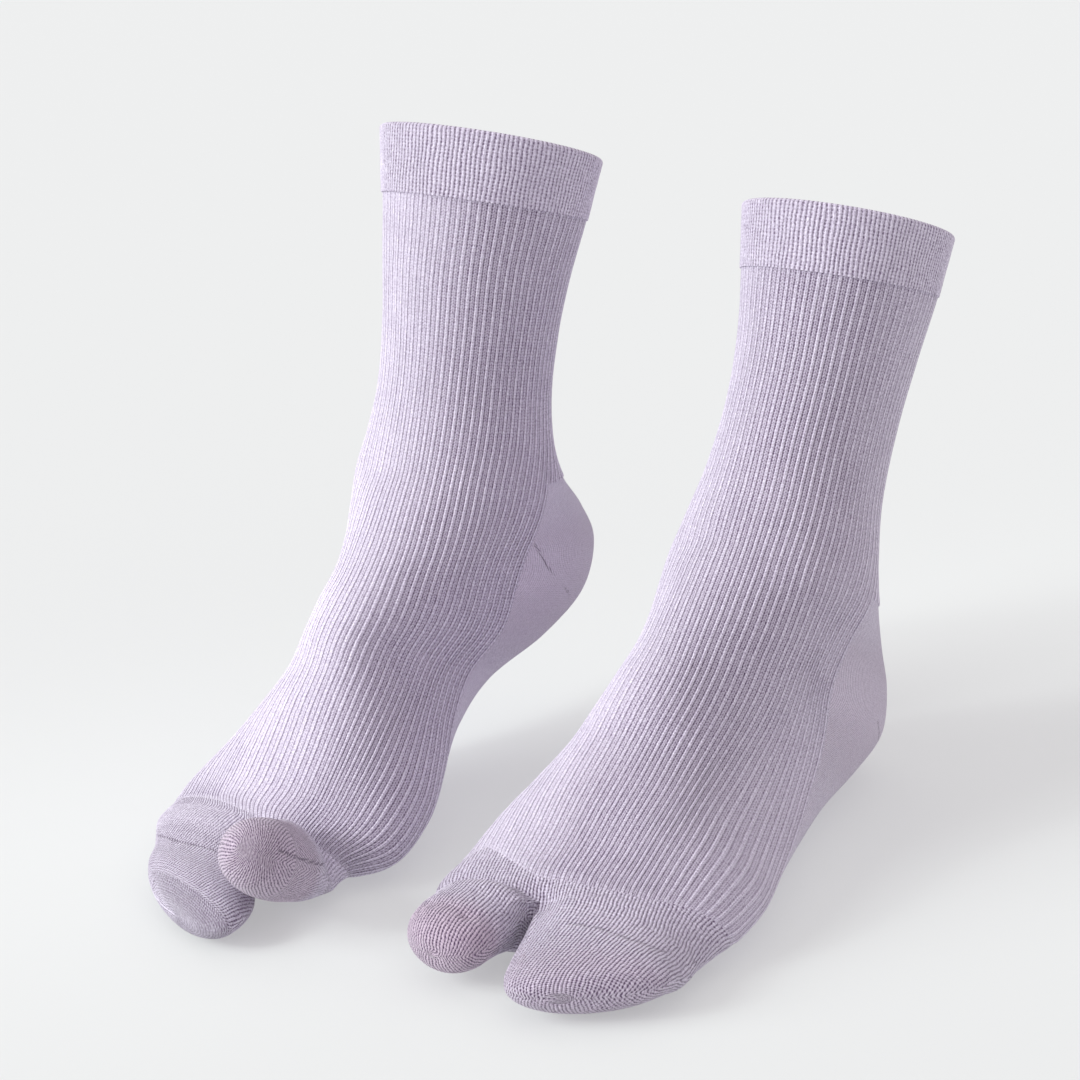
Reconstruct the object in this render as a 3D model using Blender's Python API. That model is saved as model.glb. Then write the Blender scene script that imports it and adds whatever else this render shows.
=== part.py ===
# A pair of split-toe (tabi) crew socks, machine knitted, keeping the form they have when worn:
# one sock stands flat, the other has its heel lifted and its big toe raised.
# Tables are in millimetres in each sock's own frame: toes to -Y, outer side of the foot to +X,
# floor at z = 0, heel near y = 0. The right sock is the mirrored hand, set down beside the left.
# The origin of the whole is the centre of the left sock's leg opening, where a leg holds it up.
import math
import bpy
import numpy as np

# ---- driving dimensions (mm unless said) ------------------------------------------------
MM = 0.001
WALL = 1.5             # knit thickness, plain parts and the valleys of the ribs
RIB_RISE = 0.55        # a rib's crown above its valley
SEAM_GAP = 0.3         # clear gap left where two knitted parts meet
TOP_RIBS = 40          # ribs over the instep, from side line to side line
BACK_RIBS = 24         # ribs round the back of the leg
TOP_INNER = 20         # inside columns over the instep
BACK_INNER = 12        # inside columns round the back
HEEL_OUTER = 18        # outside columns of heel and sole
HEEL_INNER = 9         # inside columns of heel and sole
CUFF_COLUMNS = (30, 18)    # columns round the turned cuff, front and back of the side lines
CUFF_PROUD = 0.9       # the turned cuff stands over the leg by this
CUFF_HEM = 2.6         # thickness of the doubled cuff
CUFF_FOLD = (0, 35, 65, 90, 115, 145, 180)  # degrees round the fold on the cuff's top edge
TOE_COLUMNS = (30, 18, 6)  # toe cap columns over the top, underneath, down the split
RING_SAMPLES = 720     # fine steps round half a ring, from which even columns are taken
RIGHT_AT = (-118.0, 3.0)   # the right sock's own frame, from the left one's
RIGHT_YAW = -2.0           # degrees, turn of the right sock about the vertical

# Cross sections from the cuff to the split between the toes. Each is a closed ring in a
# tilted plane through a front (instep) point and a back (heel or sole) point.
# outer_w / inner_w: half width to the outer / inner side of the foot; belly: how far the
# widest part sinks towards the back point; ridge: sideways shift of the front point;
# box: below 1 the ring's flanks are squarer; skew: how far the ring falls back per unit
# width; shift: sideways shift of the whole ring; side: share of the half girth, from the
# front, at which the instep ends; steps: loft steps down to the next section.
COLUMNS = ("name front_y front_z back_y back_z outer_w inner_w belly ridge box skew "
           "shift side steps").split()
LEFT = (
    ("cuff_top",   -38.7, 212.6,   38.3, 185.0, 36.7, 35.0, 0.00,  0.0, 1.00, 0.00, 0.0, 0.625, 1),
    ("cuff_low",   -44.8, 189.7,   30.2, 165.8, 34.2, 31.8, 0.00,  0.0, 1.00, 0.00, 0.0, 0.625, 1),
    ("shin_hi",    -51.0, 167.8,   19.8, 145.0, 30.9, 29.0, 0.00,  0.0, 1.00, 0.00, 0.0, 0.625, 1),
    ("shin",       -58.9, 147.4,    7.6, 121.5, 28.6, 28.3, 0.00,  0.0, 1.00, 0.00, 0.0, 0.625, 1),
    ("shin_low",   -69.8, 127.6,   -6.3,  97.6, 29.5, 30.0, 0.00,  0.0, 1.00, 0.00, 0.0, 0.620, 1),
    ("ankle_hi",   -81.4, 113.5,  -16.8,  78.9, 33.5, 32.7, 0.02,  0.0, 1.00, 0.00, 0.0, 0.600, 1),
    ("ankle",      -94.0, 102.8,  -18.4,  62.0, 36.3, 35.0, 0.05,  0.0, 1.00, 0.00, 0.0, 0.540, 1),
    ("heel_hi",   -106.0,  94.0,  -10.1,  43.2, 36.6, 35.1, 0.08, -1.0, 1.00, 0.00, 0.0, 0.460, 2),
    ("heel_mid",  -115.8,  87.2,   -1.5,  23.9, 37.0, 34.4, 0.10, -2.0, 1.00, 0.00, 0.0, 0.410, 2),
    ("heel_low",  -124.7,  80.7,   -5.4,   7.4, 37.2, 34.8, 0.14, -3.0, 1.00, 0.00, 0.0, 0.410, 2),
    ("heel_sole", -134.6,  73.5,  -28.2,   1.6, 35.4, 35.3, 0.20, -4.0, 0.95, 0.00, 0.0, 0.500, 1),
    ("arch_back", -143.0,  65.7,  -61.8,   0.8, 36.6, 36.5, 0.25, -5.0, 0.95, 0.00, 0.0, 0.580, 1),
    ("arch",      -151.3,  56.0,  -95.8,   1.0, 41.3, 38.8, 0.30, -6.0, 0.95, 0.00, 0.0, 0.610, 1),
    ("waist",     -161.6,  49.1, -126.0,   1.0, 46.5, 41.5, 0.33, -6.0, 0.93, 0.00, 0.0, 0.615, 1),
    ("ball_back", -173.4,  42.4, -153.2,   0.8, 50.7, 44.6, 0.36, -5.0, 0.92, 0.04, 0.0, 0.600, 1),
    ("ball",      -186.1,  34.8, -176.7,   0.6, 50.8, 45.0, 0.38, -4.0, 0.90, 0.08, 0.0, 0.580, 1),
    ("toe_line",  -196.0,  29.2, -190.0,   0.8, 47.4, 48.0, 0.40, -2.0, 0.88, 0.13, 0.6, 0.560, 2),
    ("split",     -205.0,  26.4, -202.4,   0.8, 44.2, 41.5, 0.40,  0.0, 0.88, 0.15, 2.0, 0.560, 1),
)
RIGHT = (
    ("cuff_top",   -83.8, 235.4,  -10.9, 211.4, 38.1, 41.0, 0.00,  0.0, 1.00, 0.00, 0.0, 0.625, 1),
    ("cuff_low",   -88.1, 211.4,  -15.8, 191.0, 34.4, 36.7, 0.00,  0.0, 1.00, 0.00, 0.0, 0.625, 1),
    ("shin_hi",    -91.6, 189.2,  -21.8, 173.6, 31.7, 33.0, 0.00,  0.0, 1.00, 0.00, 0.0, 0.625, 1),
    ("shin",       -94.6, 167.4,  -28.1, 153.7, 29.3, 30.6, 0.00,  0.0, 1.00, 0.00, 0.0, 0.625, 1),
    ("shin_low",   -98.6, 145.3,  -33.2, 132.1, 28.8, 30.3, 0.00,  0.0, 1.00, 0.00, 0.0, 0.620, 1),
    ("ankle_hi",  -104.3, 128.3,  -35.5, 115.3, 31.1, 33.1, 0.02,  0.0, 1.00, 0.00, 0.0, 0.600, 1),
    ("ankle",     -113.1, 114.6,  -31.2, 101.4, 33.3, 36.4, 0.05,  0.0, 1.00, 0.00, 0.0, 0.540, 1),
    ("heel_hi",   -122.2, 103.2,  -17.6,  87.2, 33.4, 38.0, 0.08, -1.0, 1.00, 0.00, 0.0, 0.460, 2),
    ("heel_mid",  -130.1,  94.5,   -6.5,  70.0, 32.5, 37.8, 0.10, -2.0, 1.00, 0.00, 0.0, 0.400, 2),
    ("heel_low",  -138.0,  87.4,  -12.4,  50.2, 32.8, 34.9, 0.14, -3.0, 1.00, 0.00, 0.0, 0.410, 2),
    ("heel_sole", -147.6,  80.1,  -38.1,  38.1, 32.9, 29.6, 0.20, -4.0, 0.95, 0.00, 0.0, 0.500, 1),
    ("arch_back", -155.5,  72.2,  -73.2,  30.9, 32.3, 24.6, 0.25, -5.0, 0.95, 0.00, 0.0, 0.580, 1),
    ("arch",      -161.6,  61.9, -101.9,  22.4, 34.2, 27.5, 0.30, -6.0, 0.95, 0.00, 0.0, 0.610, 1),
    ("waist",     -169.4,  51.6, -125.4,  13.3, 38.8, 34.9, 0.33, -6.0, 0.93, 0.00, 0.0, 0.615, 1),
    ("ball_back", -177.3,  40.6, -149.1,   5.2, 44.1, 43.4, 0.36, -5.0, 0.92, 0.04, 0.0, 0.600, 1),
    ("ball",      -186.3,  29.6, -173.2,   1.0, 46.6, 47.4, 0.38, -4.0, 0.90, 0.08, 1.0, 0.580, 1),
    ("toe_line",  -194.4,  23.8, -188.3,   0.8, 42.7, 40.2, 0.40, -2.0, 0.88, 0.12, 1.8, 0.560, 2),
    ("split",     -201.7,  22.4, -198.3,   0.8, 40.1, 41.7, 0.40,  0.0, 0.88, 0.14, 1.3, 0.560, 1),
)

# Toe pockets beyond the split, one row per ring: centre x, y, z; half width; height above
# and below the centre; yaw of the ring about the vertical and pitch of its axis (degrees);
# round: 0 keeps the split's own outline, 1 is a full oval.
POCKET = "x y z half_w up down yaw pitch round".split()
LEFT_BIG = (
    (-23.8, -211.2, 15.8, 16.2, 11.8, 12.8, 0.0, -2.0, 0.45),
    (-23.8, -218.0, 15.5, 15.4, 10.8, 12.0, 0.0, -2.0, 0.85),
    (-23.7, -225.0, 15.1, 15.0, 10.5, 11.4, 0.0, -3.0, 1.00),
    (-23.4, -231.4, 14.5, 13.8, 9.8, 10.6, 0.0, -5.0, 1.00),
    (-23.1, -236.0, 14.0, 11.0, 8.1, 8.7, 0.0, -8.0, 1.00),
    (-23.0, -238.7, 13.5, 6.6, 5.1, 5.4, 0.0, -10.0, 1.00),
)
LEFT_MITTEN = (
    (21.2, -211.7, 11.6, 26.8, 11.0, 11.2, 7.0, -2.0, 0.45),
    (22.1, -218.6, 11.3, 25.6, 10.0, 10.6, 11.5, -3.0, 0.85),
    (22.8, -225.4, 11.1, 24.2, 9.0, 10.0, 16.9, -4.0, 1.00),
    (22.9, -232.0, 11.0, 21.8, 8.0, 9.2, 22.3, -6.0, 1.00),
    (22.3, -236.9, 10.8, 17.6, 6.7, 7.6, 26.3, -8.0, 1.00),
    (21.7, -239.9, 10.6, 10.7, 4.4, 4.9, 28.9, -10.0, 1.00),
)
RIGHT_BIG = (
    (-27.6, -209.8, 15.0, 14.3, 12.5, 13.4, 0.0, 8.0, 0.45),
    (-32.0, -220.6, 20.0, 13.8, 12.7, 13.2, 0.0, 15.0, 0.85),
    (-35.8, -231.8, 25.8, 13.6, 12.8, 13.0, 0.0, 21.0, 1.00),
    (-37.6, -240.8, 31.0, 12.6, 11.9, 12.1, 0.0, 26.0, 1.00),
    (-38.0, -246.4, 34.8, 10.2, 9.7, 10.0, 0.0, 31.0, 1.00),
    (-38.2, -249.9, 37.4, 6.1, 5.9, 6.0, 0.0, 34.0, 1.00),
)
RIGHT_MITTEN = (
    (14.6, -205.6, 11.2, 23.2, 10.2, 10.6, 8.8, -3.0, 0.45),
    (7.4, -214.6, 10.4, 24.4, 9.0, 10.2, 11.6, -3.0, 0.85),
    (-1.9, -224.8, 9.4, 27.6, 8.0, 9.7, 14.6, -4.0, 1.00),
    (-7.2, -236.1, 8.9, 27.2, 8.2, 9.2, 17.2, -5.0, 1.00),
    (-10.6, -244.5, 8.2, 22.4, 6.8, 7.8, 19.3, -7.0, 1.00),
    (-12.3, -249.6, 7.7, 13.4, 4.4, 5.0, 20.3, -9.0, 1.00),
)
SPLIT_X = {"left": -4.5, "right": -9.0}    # where across the foot the toes part
SPLIT_NOTCH = 2.4      # dip of the top of the ring where the toes part
SPLIT_WIDTH = 6.0      # how far the dip spreads sideways
SPLIT_UNDER = 0.6      # the dip underneath, as a share of the one on top
SPLIT_BULGE = 3.0      # how far the knit between the toes bows forward
SPLIT_DEPTH = 1.7      # the knit between the toes is this many times as deep as the wall
TIP_ROUND = 0.22       # a pocket's closing point stands ahead by this share of its height

KNIT_ROUGHNESS = 0.9
LAVENDER = {
    "ribbed lavender knit": (0.56, 0.49, 0.64, 1.0),
    "plain lavender knit": (0.52, 0.45, 0.60, 1.0),
    "lavender cuff knit": (0.58, 0.51, 0.66, 1.0),
}


# ---- curves and rings ---------------------------------------------------------------------
def lofted(table):
    """Section numbers at every loft step, smoothed through the table's rows, and the step
    number of each named section."""
    rows = np.array([r[1:] for r in table])
    last = len(rows) - 1
    out, marks = [], {}
    for i, r in enumerate(table):
        marks[r[0]] = len(out)
        steps = int(r[-1]) if i < last else 1
        p0, p1 = rows[max(i - 1, 0)], rows[i]
        p2, p3 = rows[min(i + 1, last)], rows[min(i + 2, last)]
        for k in range(steps):
            t = k / steps
            out.append(0.5 * (2 * p1 + (p2 - p0) * t + (2 * p0 - 5 * p1 + 4 * p2 - p3) * t * t
                              + (3 * p1 - p0 - 3 * p2 + p3) * t ** 3))
    return np.array(out), marks


def ring(row, t):
    """Points of one section's ring at the angles t (0 = front, positive to the outer side)."""
    v = dict(zip(COLUMNS[1:], row))
    c, s = np.cos(t), np.sin(t)
    along = c - v["belly"] * s * s
    wide = np.sign(s) * np.abs(s) ** v["box"]
    x = wide * np.where(s > 0, v["outer_w"], v["inner_w"]) + v["ridge"] * (1 + c) / 2
    y = (v["front_y"] + v["back_y"]) / 2 + (v["front_y"] - v["back_y"]) / 2 * along
    z = (v["front_z"] + v["back_z"]) / 2 + (v["front_z"] - v["back_z"]) / 2 * along
    return np.stack([x + v["shift"], y + v["skew"] * x, z], -1)


def even_columns(row, top, back):
    """One section's ring with evenly spaced knit columns: `top` of them over the instep from
    the inner side line to the outer, then `back` round the heel; index 0 is the inner line."""
    p = ring(row, np.linspace(-math.pi, math.pi, 2 * RING_SAMPLES + 1))
    arc = np.concatenate([[0], np.cumsum(np.linalg.norm(np.diff(p, axis=0), axis=1))])
    mid, end = arc[RING_SAMPLES], arc[-1]
    side = row[COLUMNS.index("side") - 1]
    inner, outer = mid - side * mid, mid + side * (end - mid)
    over = np.linspace(inner, outer, top + 1)[:-1]
    under = np.linspace(outer, end + inner, back + 1)[:-1] % end
    s = np.concatenate([over, under])
    return np.stack([np.interp(s, arc, p[:, k]) for k in range(3)], -1)


def grid_normals(grid):
    """Outward unit normals of a grid whose columns close round."""
    down = np.gradient(grid, axis=0)
    across = np.roll(grid, -1, 1) - np.roll(grid, 1, 1)
    n = np.cross(down, across)
    n /= np.linalg.norm(n, axis=2, keepdims=True)
    centre = grid.mean(axis=1, keepdims=True)
    return n if np.sum(n * (grid - centre)) > 0 else -n


def skin(rows, first, last, top, back):
    """Outer skin and its normals over a run of loft steps; a step to either side is counted
    in, so that parts that meet share their normals."""
    grid = np.array([even_columns(r, top, back) for r in rows[first - 1:last + 2]])
    return grid[1:-1], grid_normals(grid)[1:-1]


def half_gap(start, towards):
    """Steps half a seam gap long from points in the direction of others."""
    d = towards - start
    return d / np.linalg.norm(d, axis=-1, keepdims=True) * SEAM_GAP / 2


def stitch(a, b):
    """Triangles between two chains of point numbers that run the same way."""
    faces, i, j = [], 0, 0
    while i < len(a) - 1 or j < len(b) - 1:
        a_done, b_done = i == len(a) - 1, j == len(b) - 1
        if b_done or (not a_done and (i + 1) / (len(a) - 1) <= (j + 0.5) / (len(b) - 1)):
            faces.append((a[i], b[j], a[i + 1]))
            i += 1
        else:
            faces.append((a[i], b[j], b[j + 1]))
            j += 1
    return faces


# ---- solids ---------------------------------------------------------------------------------
class Solid:
    """Collects the points (mm, in the sock's own frame) and faces of one knitted part."""

    def __init__(self):
        self.points, self.faces = [], []

    def add(self, grid):
        """Takes in a grid of points and gives back the grid of their numbers."""
        start = len(self.points)
        flat = grid.reshape(-1, 3)
        self.points.extend(map(tuple, flat))
        return np.arange(start, start + len(flat)).reshape(grid.shape[:-1])

    def quads(self, ids, flip=False):
        """Faces over a grid of point numbers."""
        for r in range(ids.shape[0] - 1):
            for c in range(ids.shape[1] - 1):
                q = (ids[r, c], ids[r + 1, c], ids[r + 1, c + 1], ids[r, c + 1])
                self.faces.append(q[::-1] if flip else q)

    def strip(self, a, b, flip=False):
        """Faces that join two chains of point numbers along an open edge of the knit."""
        self.faces += [f[::-1] if flip else f for f in stitch(list(a), list(b))]

    def make(self, name, material, sock, collection):
        """The finished object, set down with its sock; the right sock is the mirrored hand."""
        points = np.array(self.points) * MM
        faces = self.faces
        if sock["mirrored"]:
            points[:, 0] *= -1
            faces = [f[::-1] for f in faces]
        used = sorted({int(i) for f in faces for i in f})
        number = {old: new for new, old in enumerate(used)}
        mesh = bpy.data.meshes.new(name)
        mesh.from_pydata(points[used].tolist(), [], [[number[int(i)] for i in f] for f in faces])
        mesh.validate()
        mesh.update()
        mesh.materials.append(material)
        obj = bpy.data.objects.new(name, mesh)
        obj.parent = sock
        collection.objects.link(obj)


def closed_ids(ids):
    """Repeats the first column after the last, so that a grid of numbers closes round."""
    return np.concatenate([ids, ids[:, :1]], axis=1)


def leg_and_instep(rows, marks):
    """Ribbed tube of the leg running on over the instep: ribs outside, plain inside."""
    lo, end = marks["cuff_low"], marks["toe_line"]
    k = marks["ankle"] - lo              # the back of the leg stops at the ankle section
    top, back = 2 * TOP_RIBS, 2 * BACK_RIBS
    base, normal = skin(rows, lo, end, top, back)
    crown = (np.arange(top + back) % 2 == 1) * RIB_RISE
    every = [*range(0, top, top // TOP_INNER), *range(top, top + back, back // BACK_INNER)]

    def trimmed(src, n_top):
        """The grid with its edges drawn back half a seam gap into the knit."""
        g = src.copy()
        g[0] += half_gap(src[0], src[1])
        g[k, n_top:] += half_gap(src[k, n_top:], src[k - 1, n_top:])
        g[k, 0] += half_gap(src[k, 0], src[k - 1, 0])
        for edge, inward in ((0, 1), (n_top, n_top - 1)):
            g[k:, edge] += half_gap(src[k:, edge], src[k:, inward])
        g[-1, :n_top + 1] += half_gap(src[-1, :n_top + 1], src[-2, :n_top + 1])
        return g
    s = Solid()
    o = closed_ids(s.add(trimmed(base + normal * crown[None, :, None], top)))
    i = closed_ids(s.add(trimmed((base - normal * WALL)[:, every], TOP_INNER)))
    s.quads(o[:k + 1])
    s.quads(o[k:, :top + 1])
    s.quads(i[:k + 1], flip=True)
    s.quads(i[k:, :TOP_INNER + 1], flip=True)
    s.strip(o[0], i[0], flip=True)
    s.strip(o[k, top:], i[k, TOP_INNER:])
    s.strip(o[-1, :top + 1], i[-1, :TOP_INNER + 1])
    s.strip(o[k:, 0], i[k:, 0])
    s.strip(o[k:, top], i[k:, TOP_INNER], flip=True)
    return s


def heel_and_sole(rows, marks):
    """Plain heel pocket and sole, closing the underside of the instep."""
    def face(columns, depth):
        """The skin at a depth under the surface, its edges drawn back half a seam gap."""
        full, normal = skin(rows, marks["ankle"], marks["toe_line"], 2 * columns, columns)
        src = (full - normal * depth)[:, [*range(2 * columns, 3 * columns), 0]]
        g = src.copy()
        for edge, inward in ((0, 1), (-1, -2)):
            g[edge] += half_gap(src[edge], src[inward])
            g[:, edge] += half_gap(src[:, edge], src[:, inward])
        return g
    s = Solid()
    o, i = s.add(face(HEEL_OUTER, 0.0)), s.add(face(HEEL_INNER, WALL))
    s.quads(o)
    s.quads(i, flip=True)
    s.strip(o[0], i[0], flip=True)
    s.strip(o[-1], i[-1])
    s.strip(o[:, 0], i[:, 0])
    s.strip(o[:, -1], i[:, -1], flip=True)
    return s


def cuff(rows, marks):
    """Turned cuff: a doubled band with a rounded fold on top, proud of the leg."""
    top, low = (even_columns(rows[marks[k]], *CUFF_COLUMNS) for k in ("cuff_top", "cuff_low"))
    normal = grid_normals(np.array([top, low]))
    length = np.linalg.norm(low - top, axis=1, keepdims=True)
    down = (low - top) / length
    r = CUFF_HEM / 2
    # profile: distance down the band and distance out from the leg's surface
    hem = length - SEAM_GAP / 2
    fold = [(r - r * math.sin(q), CUFF_PROUD - r + r * math.cos(q)) for q in np.radians(CUFF_FOLD)]
    profile = [(hem, CUFF_PROUD)] + fold + [(hem, CUFF_PROUD - CUFF_HEM)]
    loops = [top + down * at + (normal[0] * (1 - at / length) + normal[1] * at / length) * out
             for at, out in profile]
    s = Solid()
    ids = closed_ids(s.add(np.array(loops)))
    s.quads(np.concatenate([ids, ids[:1]])[::-1])
    return s


def pocket_axes(v):
    """Sideways, upward and forward directions of one toe pocket ring."""
    yaw, pitch = math.radians(v["yaw"]), math.radians(v["pitch"])
    side = np.array([math.cos(yaw), math.sin(yaw), 0])
    ahead = np.array([math.sin(yaw) * math.cos(pitch), -math.cos(yaw) * math.cos(pitch),
                      math.sin(pitch)])
    return side, np.cross(ahead, side), ahead


def toe_surface(rows, marks, big, mitten, split_x):
    """Outer face of the toe cap: rings down to the split, then a pocket each for the big toe
    and for the other toes, sharing the knit between them."""
    n_top, n_back, n_mid = TOE_COLUMNS
    rings = np.array([even_columns(r, n_top, n_back)
                      for r in rows[marks["toe_line"]:marks["split"] + 1]])
    for k, g in enumerate(rings):
        dip = (k / (len(rings) - 1)) ** 2 * SPLIT_NOTCH
        dip = dip * np.exp(-((g[:, 0] - split_x) / SPLIT_WIDTH) ** 2)
        g[:, 2] += np.where(g[:, 2] > g[:, 2].mean(), -dip, dip * SPLIT_UNDER)
    points = list(rings.reshape(-1, 3))
    n = n_top + n_back
    faces = []

    def band(a, b):
        """Faces between two closed loops of point numbers."""
        for c in range(len(a)):
            d = (c + 1) % len(a)
            faces.append((a[c], b[c], b[d], a[d]))
    loops = [list(range(r * n, (r + 1) * n)) for r in range(len(rings))]
    for a, b in zip(loops, loops[1:]):
        band(a, b)
    last = rings[-1]
    top_at = int(np.argmin(np.abs(last[:n_top + 1, 0] - split_x)))
    low_at = n_top + int(np.argmin(np.abs(last[n_top:, 0] - split_x)))
    mid = []
    for q in np.linspace(0, 1, n_mid + 1)[1:-1]:
        p = last[top_at] * (1 - q) + last[low_at] * q
        mid.append(len(points))
        points.append(p - np.array([0, SPLIT_BULGE * math.sin(math.pi * q), 0]))
    # the pockets' loops run the way the ring does: inner line, top, outer line, underneath
    edge = loops[-1]
    loop_big = edge[low_at:] + edge[:top_at + 1] + mid
    loop_mitten = edge[top_at:low_at + 1] + mid[::-1]
    for prev, table in ((loop_big, big), (loop_mitten, mitten)):
        start = np.array([points[i] for i in prev])
        centre = (start.max(axis=0) + start.min(axis=0)) / 2
        size = (start.max(axis=0) - start.min(axis=0)) / 2
        own_x, _, own_z = ((start - centre) / size).T
        angle = np.arctan2(own_z, own_x)
        for row in table:
            v = dict(zip(POCKET, row))
            side, up, ahead = pocket_axes(v)
            w = v["round"]
            px = (own_x * (1 - w) + np.cos(angle) * w) * v["half_w"]
            pz = (own_z * (1 - w) + np.sin(angle) * w) * np.where(angle > 0, v["up"], v["down"])
            new = np.array([v["x"], v["y"], v["z"]]) + px[:, None] * side + pz[:, None] * up
            ids = list(range(len(points), len(points) + len(new)))
            points.extend(new)
            band(prev, ids)
            prev = ids
        tip = len(points)
        points.append(np.array([v["x"], v["y"], v["z"]]) + ahead * v["up"] * TIP_ROUND)
        faces += [(prev[c], tip, prev[(c + 1) % len(prev)]) for c in range(len(prev))]
    return np.array(points), faces, [edge[top_at], edge[low_at]] + mid


def mesh_normals(points, faces):
    """Outward unit normals at the points of a faced surface, weighted by area."""
    n = np.zeros_like(points)
    for f in faces:
        p = points[list(f)]
        across = (p[2] - p[0], p[3] - p[1]) if len(f) == 4 else (p[1] - p[0], p[2] - p[0])
        n[list(f)] += np.cross(*across)
    return n / np.linalg.norm(n, axis=1, keepdims=True)


def toe_cap(rows, marks, big, mitten, split_x):
    """Plain toe cap with a pocket for the big toe and one for the other toes."""
    outer, faces, between = toe_surface(rows, marks, big, mitten, split_x)
    n = sum(TOE_COLUMNS[:2])
    normal = mesh_normals(outer, faces)
    line = marks["toe_line"]
    normal[:n] = skin(rows, line, line, *TOE_COLUMNS[:2])[1][0]
    normal[between] *= SPLIT_DEPTH
    s = Solid()
    edges = []
    for depth, flip in ((0.0, False), (WALL, True)):
        pts = outer - normal * depth
        pts[:n] += half_gap(pts[:n], pts[n:2 * n])
        ids = s.add(pts)
        s.faces += [[int(ids[i]) for i in (f[::-1] if flip else f)] for f in faces]
        edges.append([*ids[:n], ids[0]])
    s.strip(edges[0], edges[1], flip=True)
    return s


def knit_material(name, colour):
    mat = bpy.data.materials.new(name)
    mat.use_nodes = True
    shader = mat.node_tree.nodes["Principled BSDF"]
    shader.inputs["Base Color"].default_value = colour
    shader.inputs["Roughness"].default_value = KNIT_ROUGHNESS
    shader.inputs["Metallic"].default_value = 0.0
    return mat


def leg_opening(table):
    """Centre of a cuff's open top edge, in the sock's own frame (mm)."""
    v = dict(zip(COLUMNS[1:], table[0][1:]))
    return np.array([(v["outer_w"] - v["inner_w"]) / 2, (v["front_y"] + v["back_y"]) / 2,
                     (v["front_z"] + v["back_z"]) / 2])


# ---- build ----------------------------------------------------------------------------------
for old in list(bpy.data.objects):
    bpy.data.objects.remove(old, do_unlink=True)
ribbed, plain, cuffed = (knit_material(n, c) for n, c in LAVENDER.items())
pair = bpy.data.collections.new("tabi_socks")
bpy.context.scene.collection.children.link(pair)
held_at = leg_opening(LEFT)

for hand, table, big, mitten, heel_at, yaw in (
        ("left", LEFT, LEFT_BIG, LEFT_MITTEN, (0.0, 0.0), 0.0),
        ("right", RIGHT, RIGHT_BIG, RIGHT_MITTEN, RIGHT_AT, RIGHT_YAW)):
    sock = bpy.data.objects.new(hand + "_sock", None)
    sock.location = (np.array([*heel_at, 0.0]) - held_at) * MM
    sock.rotation_euler[2] = math.radians(yaw)
    sock["mirrored"] = hand == "right"
    pair.objects.link(sock)
    rows, marks = lofted(table)
    cuff(rows, marks).make(hand + "_cuff", cuffed, sock, pair)
    leg_and_instep(rows, marks).make(hand + "_leg", ribbed, sock, pair)
    heel_and_sole(rows, marks).make(hand + "_heel_sole", plain, sock, pair)
    toe_cap(rows, marks, big, mitten, SPLIT_X[hand]).make(hand + "_toe", plain, sock, pair)
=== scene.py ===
import math
import bpy
import numpy as np
from mathutils import Matrix, Vector


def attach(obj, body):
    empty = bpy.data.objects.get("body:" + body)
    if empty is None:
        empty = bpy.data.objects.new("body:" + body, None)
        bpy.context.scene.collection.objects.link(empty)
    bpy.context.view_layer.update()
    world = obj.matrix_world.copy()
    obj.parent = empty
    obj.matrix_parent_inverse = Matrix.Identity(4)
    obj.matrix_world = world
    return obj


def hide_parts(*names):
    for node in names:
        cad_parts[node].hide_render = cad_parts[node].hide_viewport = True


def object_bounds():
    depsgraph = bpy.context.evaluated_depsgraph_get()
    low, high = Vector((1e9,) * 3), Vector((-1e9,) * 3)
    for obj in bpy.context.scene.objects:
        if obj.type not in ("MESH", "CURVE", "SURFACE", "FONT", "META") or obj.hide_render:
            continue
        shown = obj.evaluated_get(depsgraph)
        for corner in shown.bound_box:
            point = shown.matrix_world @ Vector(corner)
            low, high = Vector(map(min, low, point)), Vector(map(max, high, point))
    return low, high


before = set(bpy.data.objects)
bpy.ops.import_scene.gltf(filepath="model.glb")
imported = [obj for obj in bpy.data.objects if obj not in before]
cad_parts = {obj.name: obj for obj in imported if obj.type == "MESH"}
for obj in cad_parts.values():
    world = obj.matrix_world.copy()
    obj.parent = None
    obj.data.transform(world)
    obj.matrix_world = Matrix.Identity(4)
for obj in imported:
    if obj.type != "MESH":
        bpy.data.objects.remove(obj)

mm = 0.001
cadBox = [list(corner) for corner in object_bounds()]
print("frame loaded:", len(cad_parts), "nodes")

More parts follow.
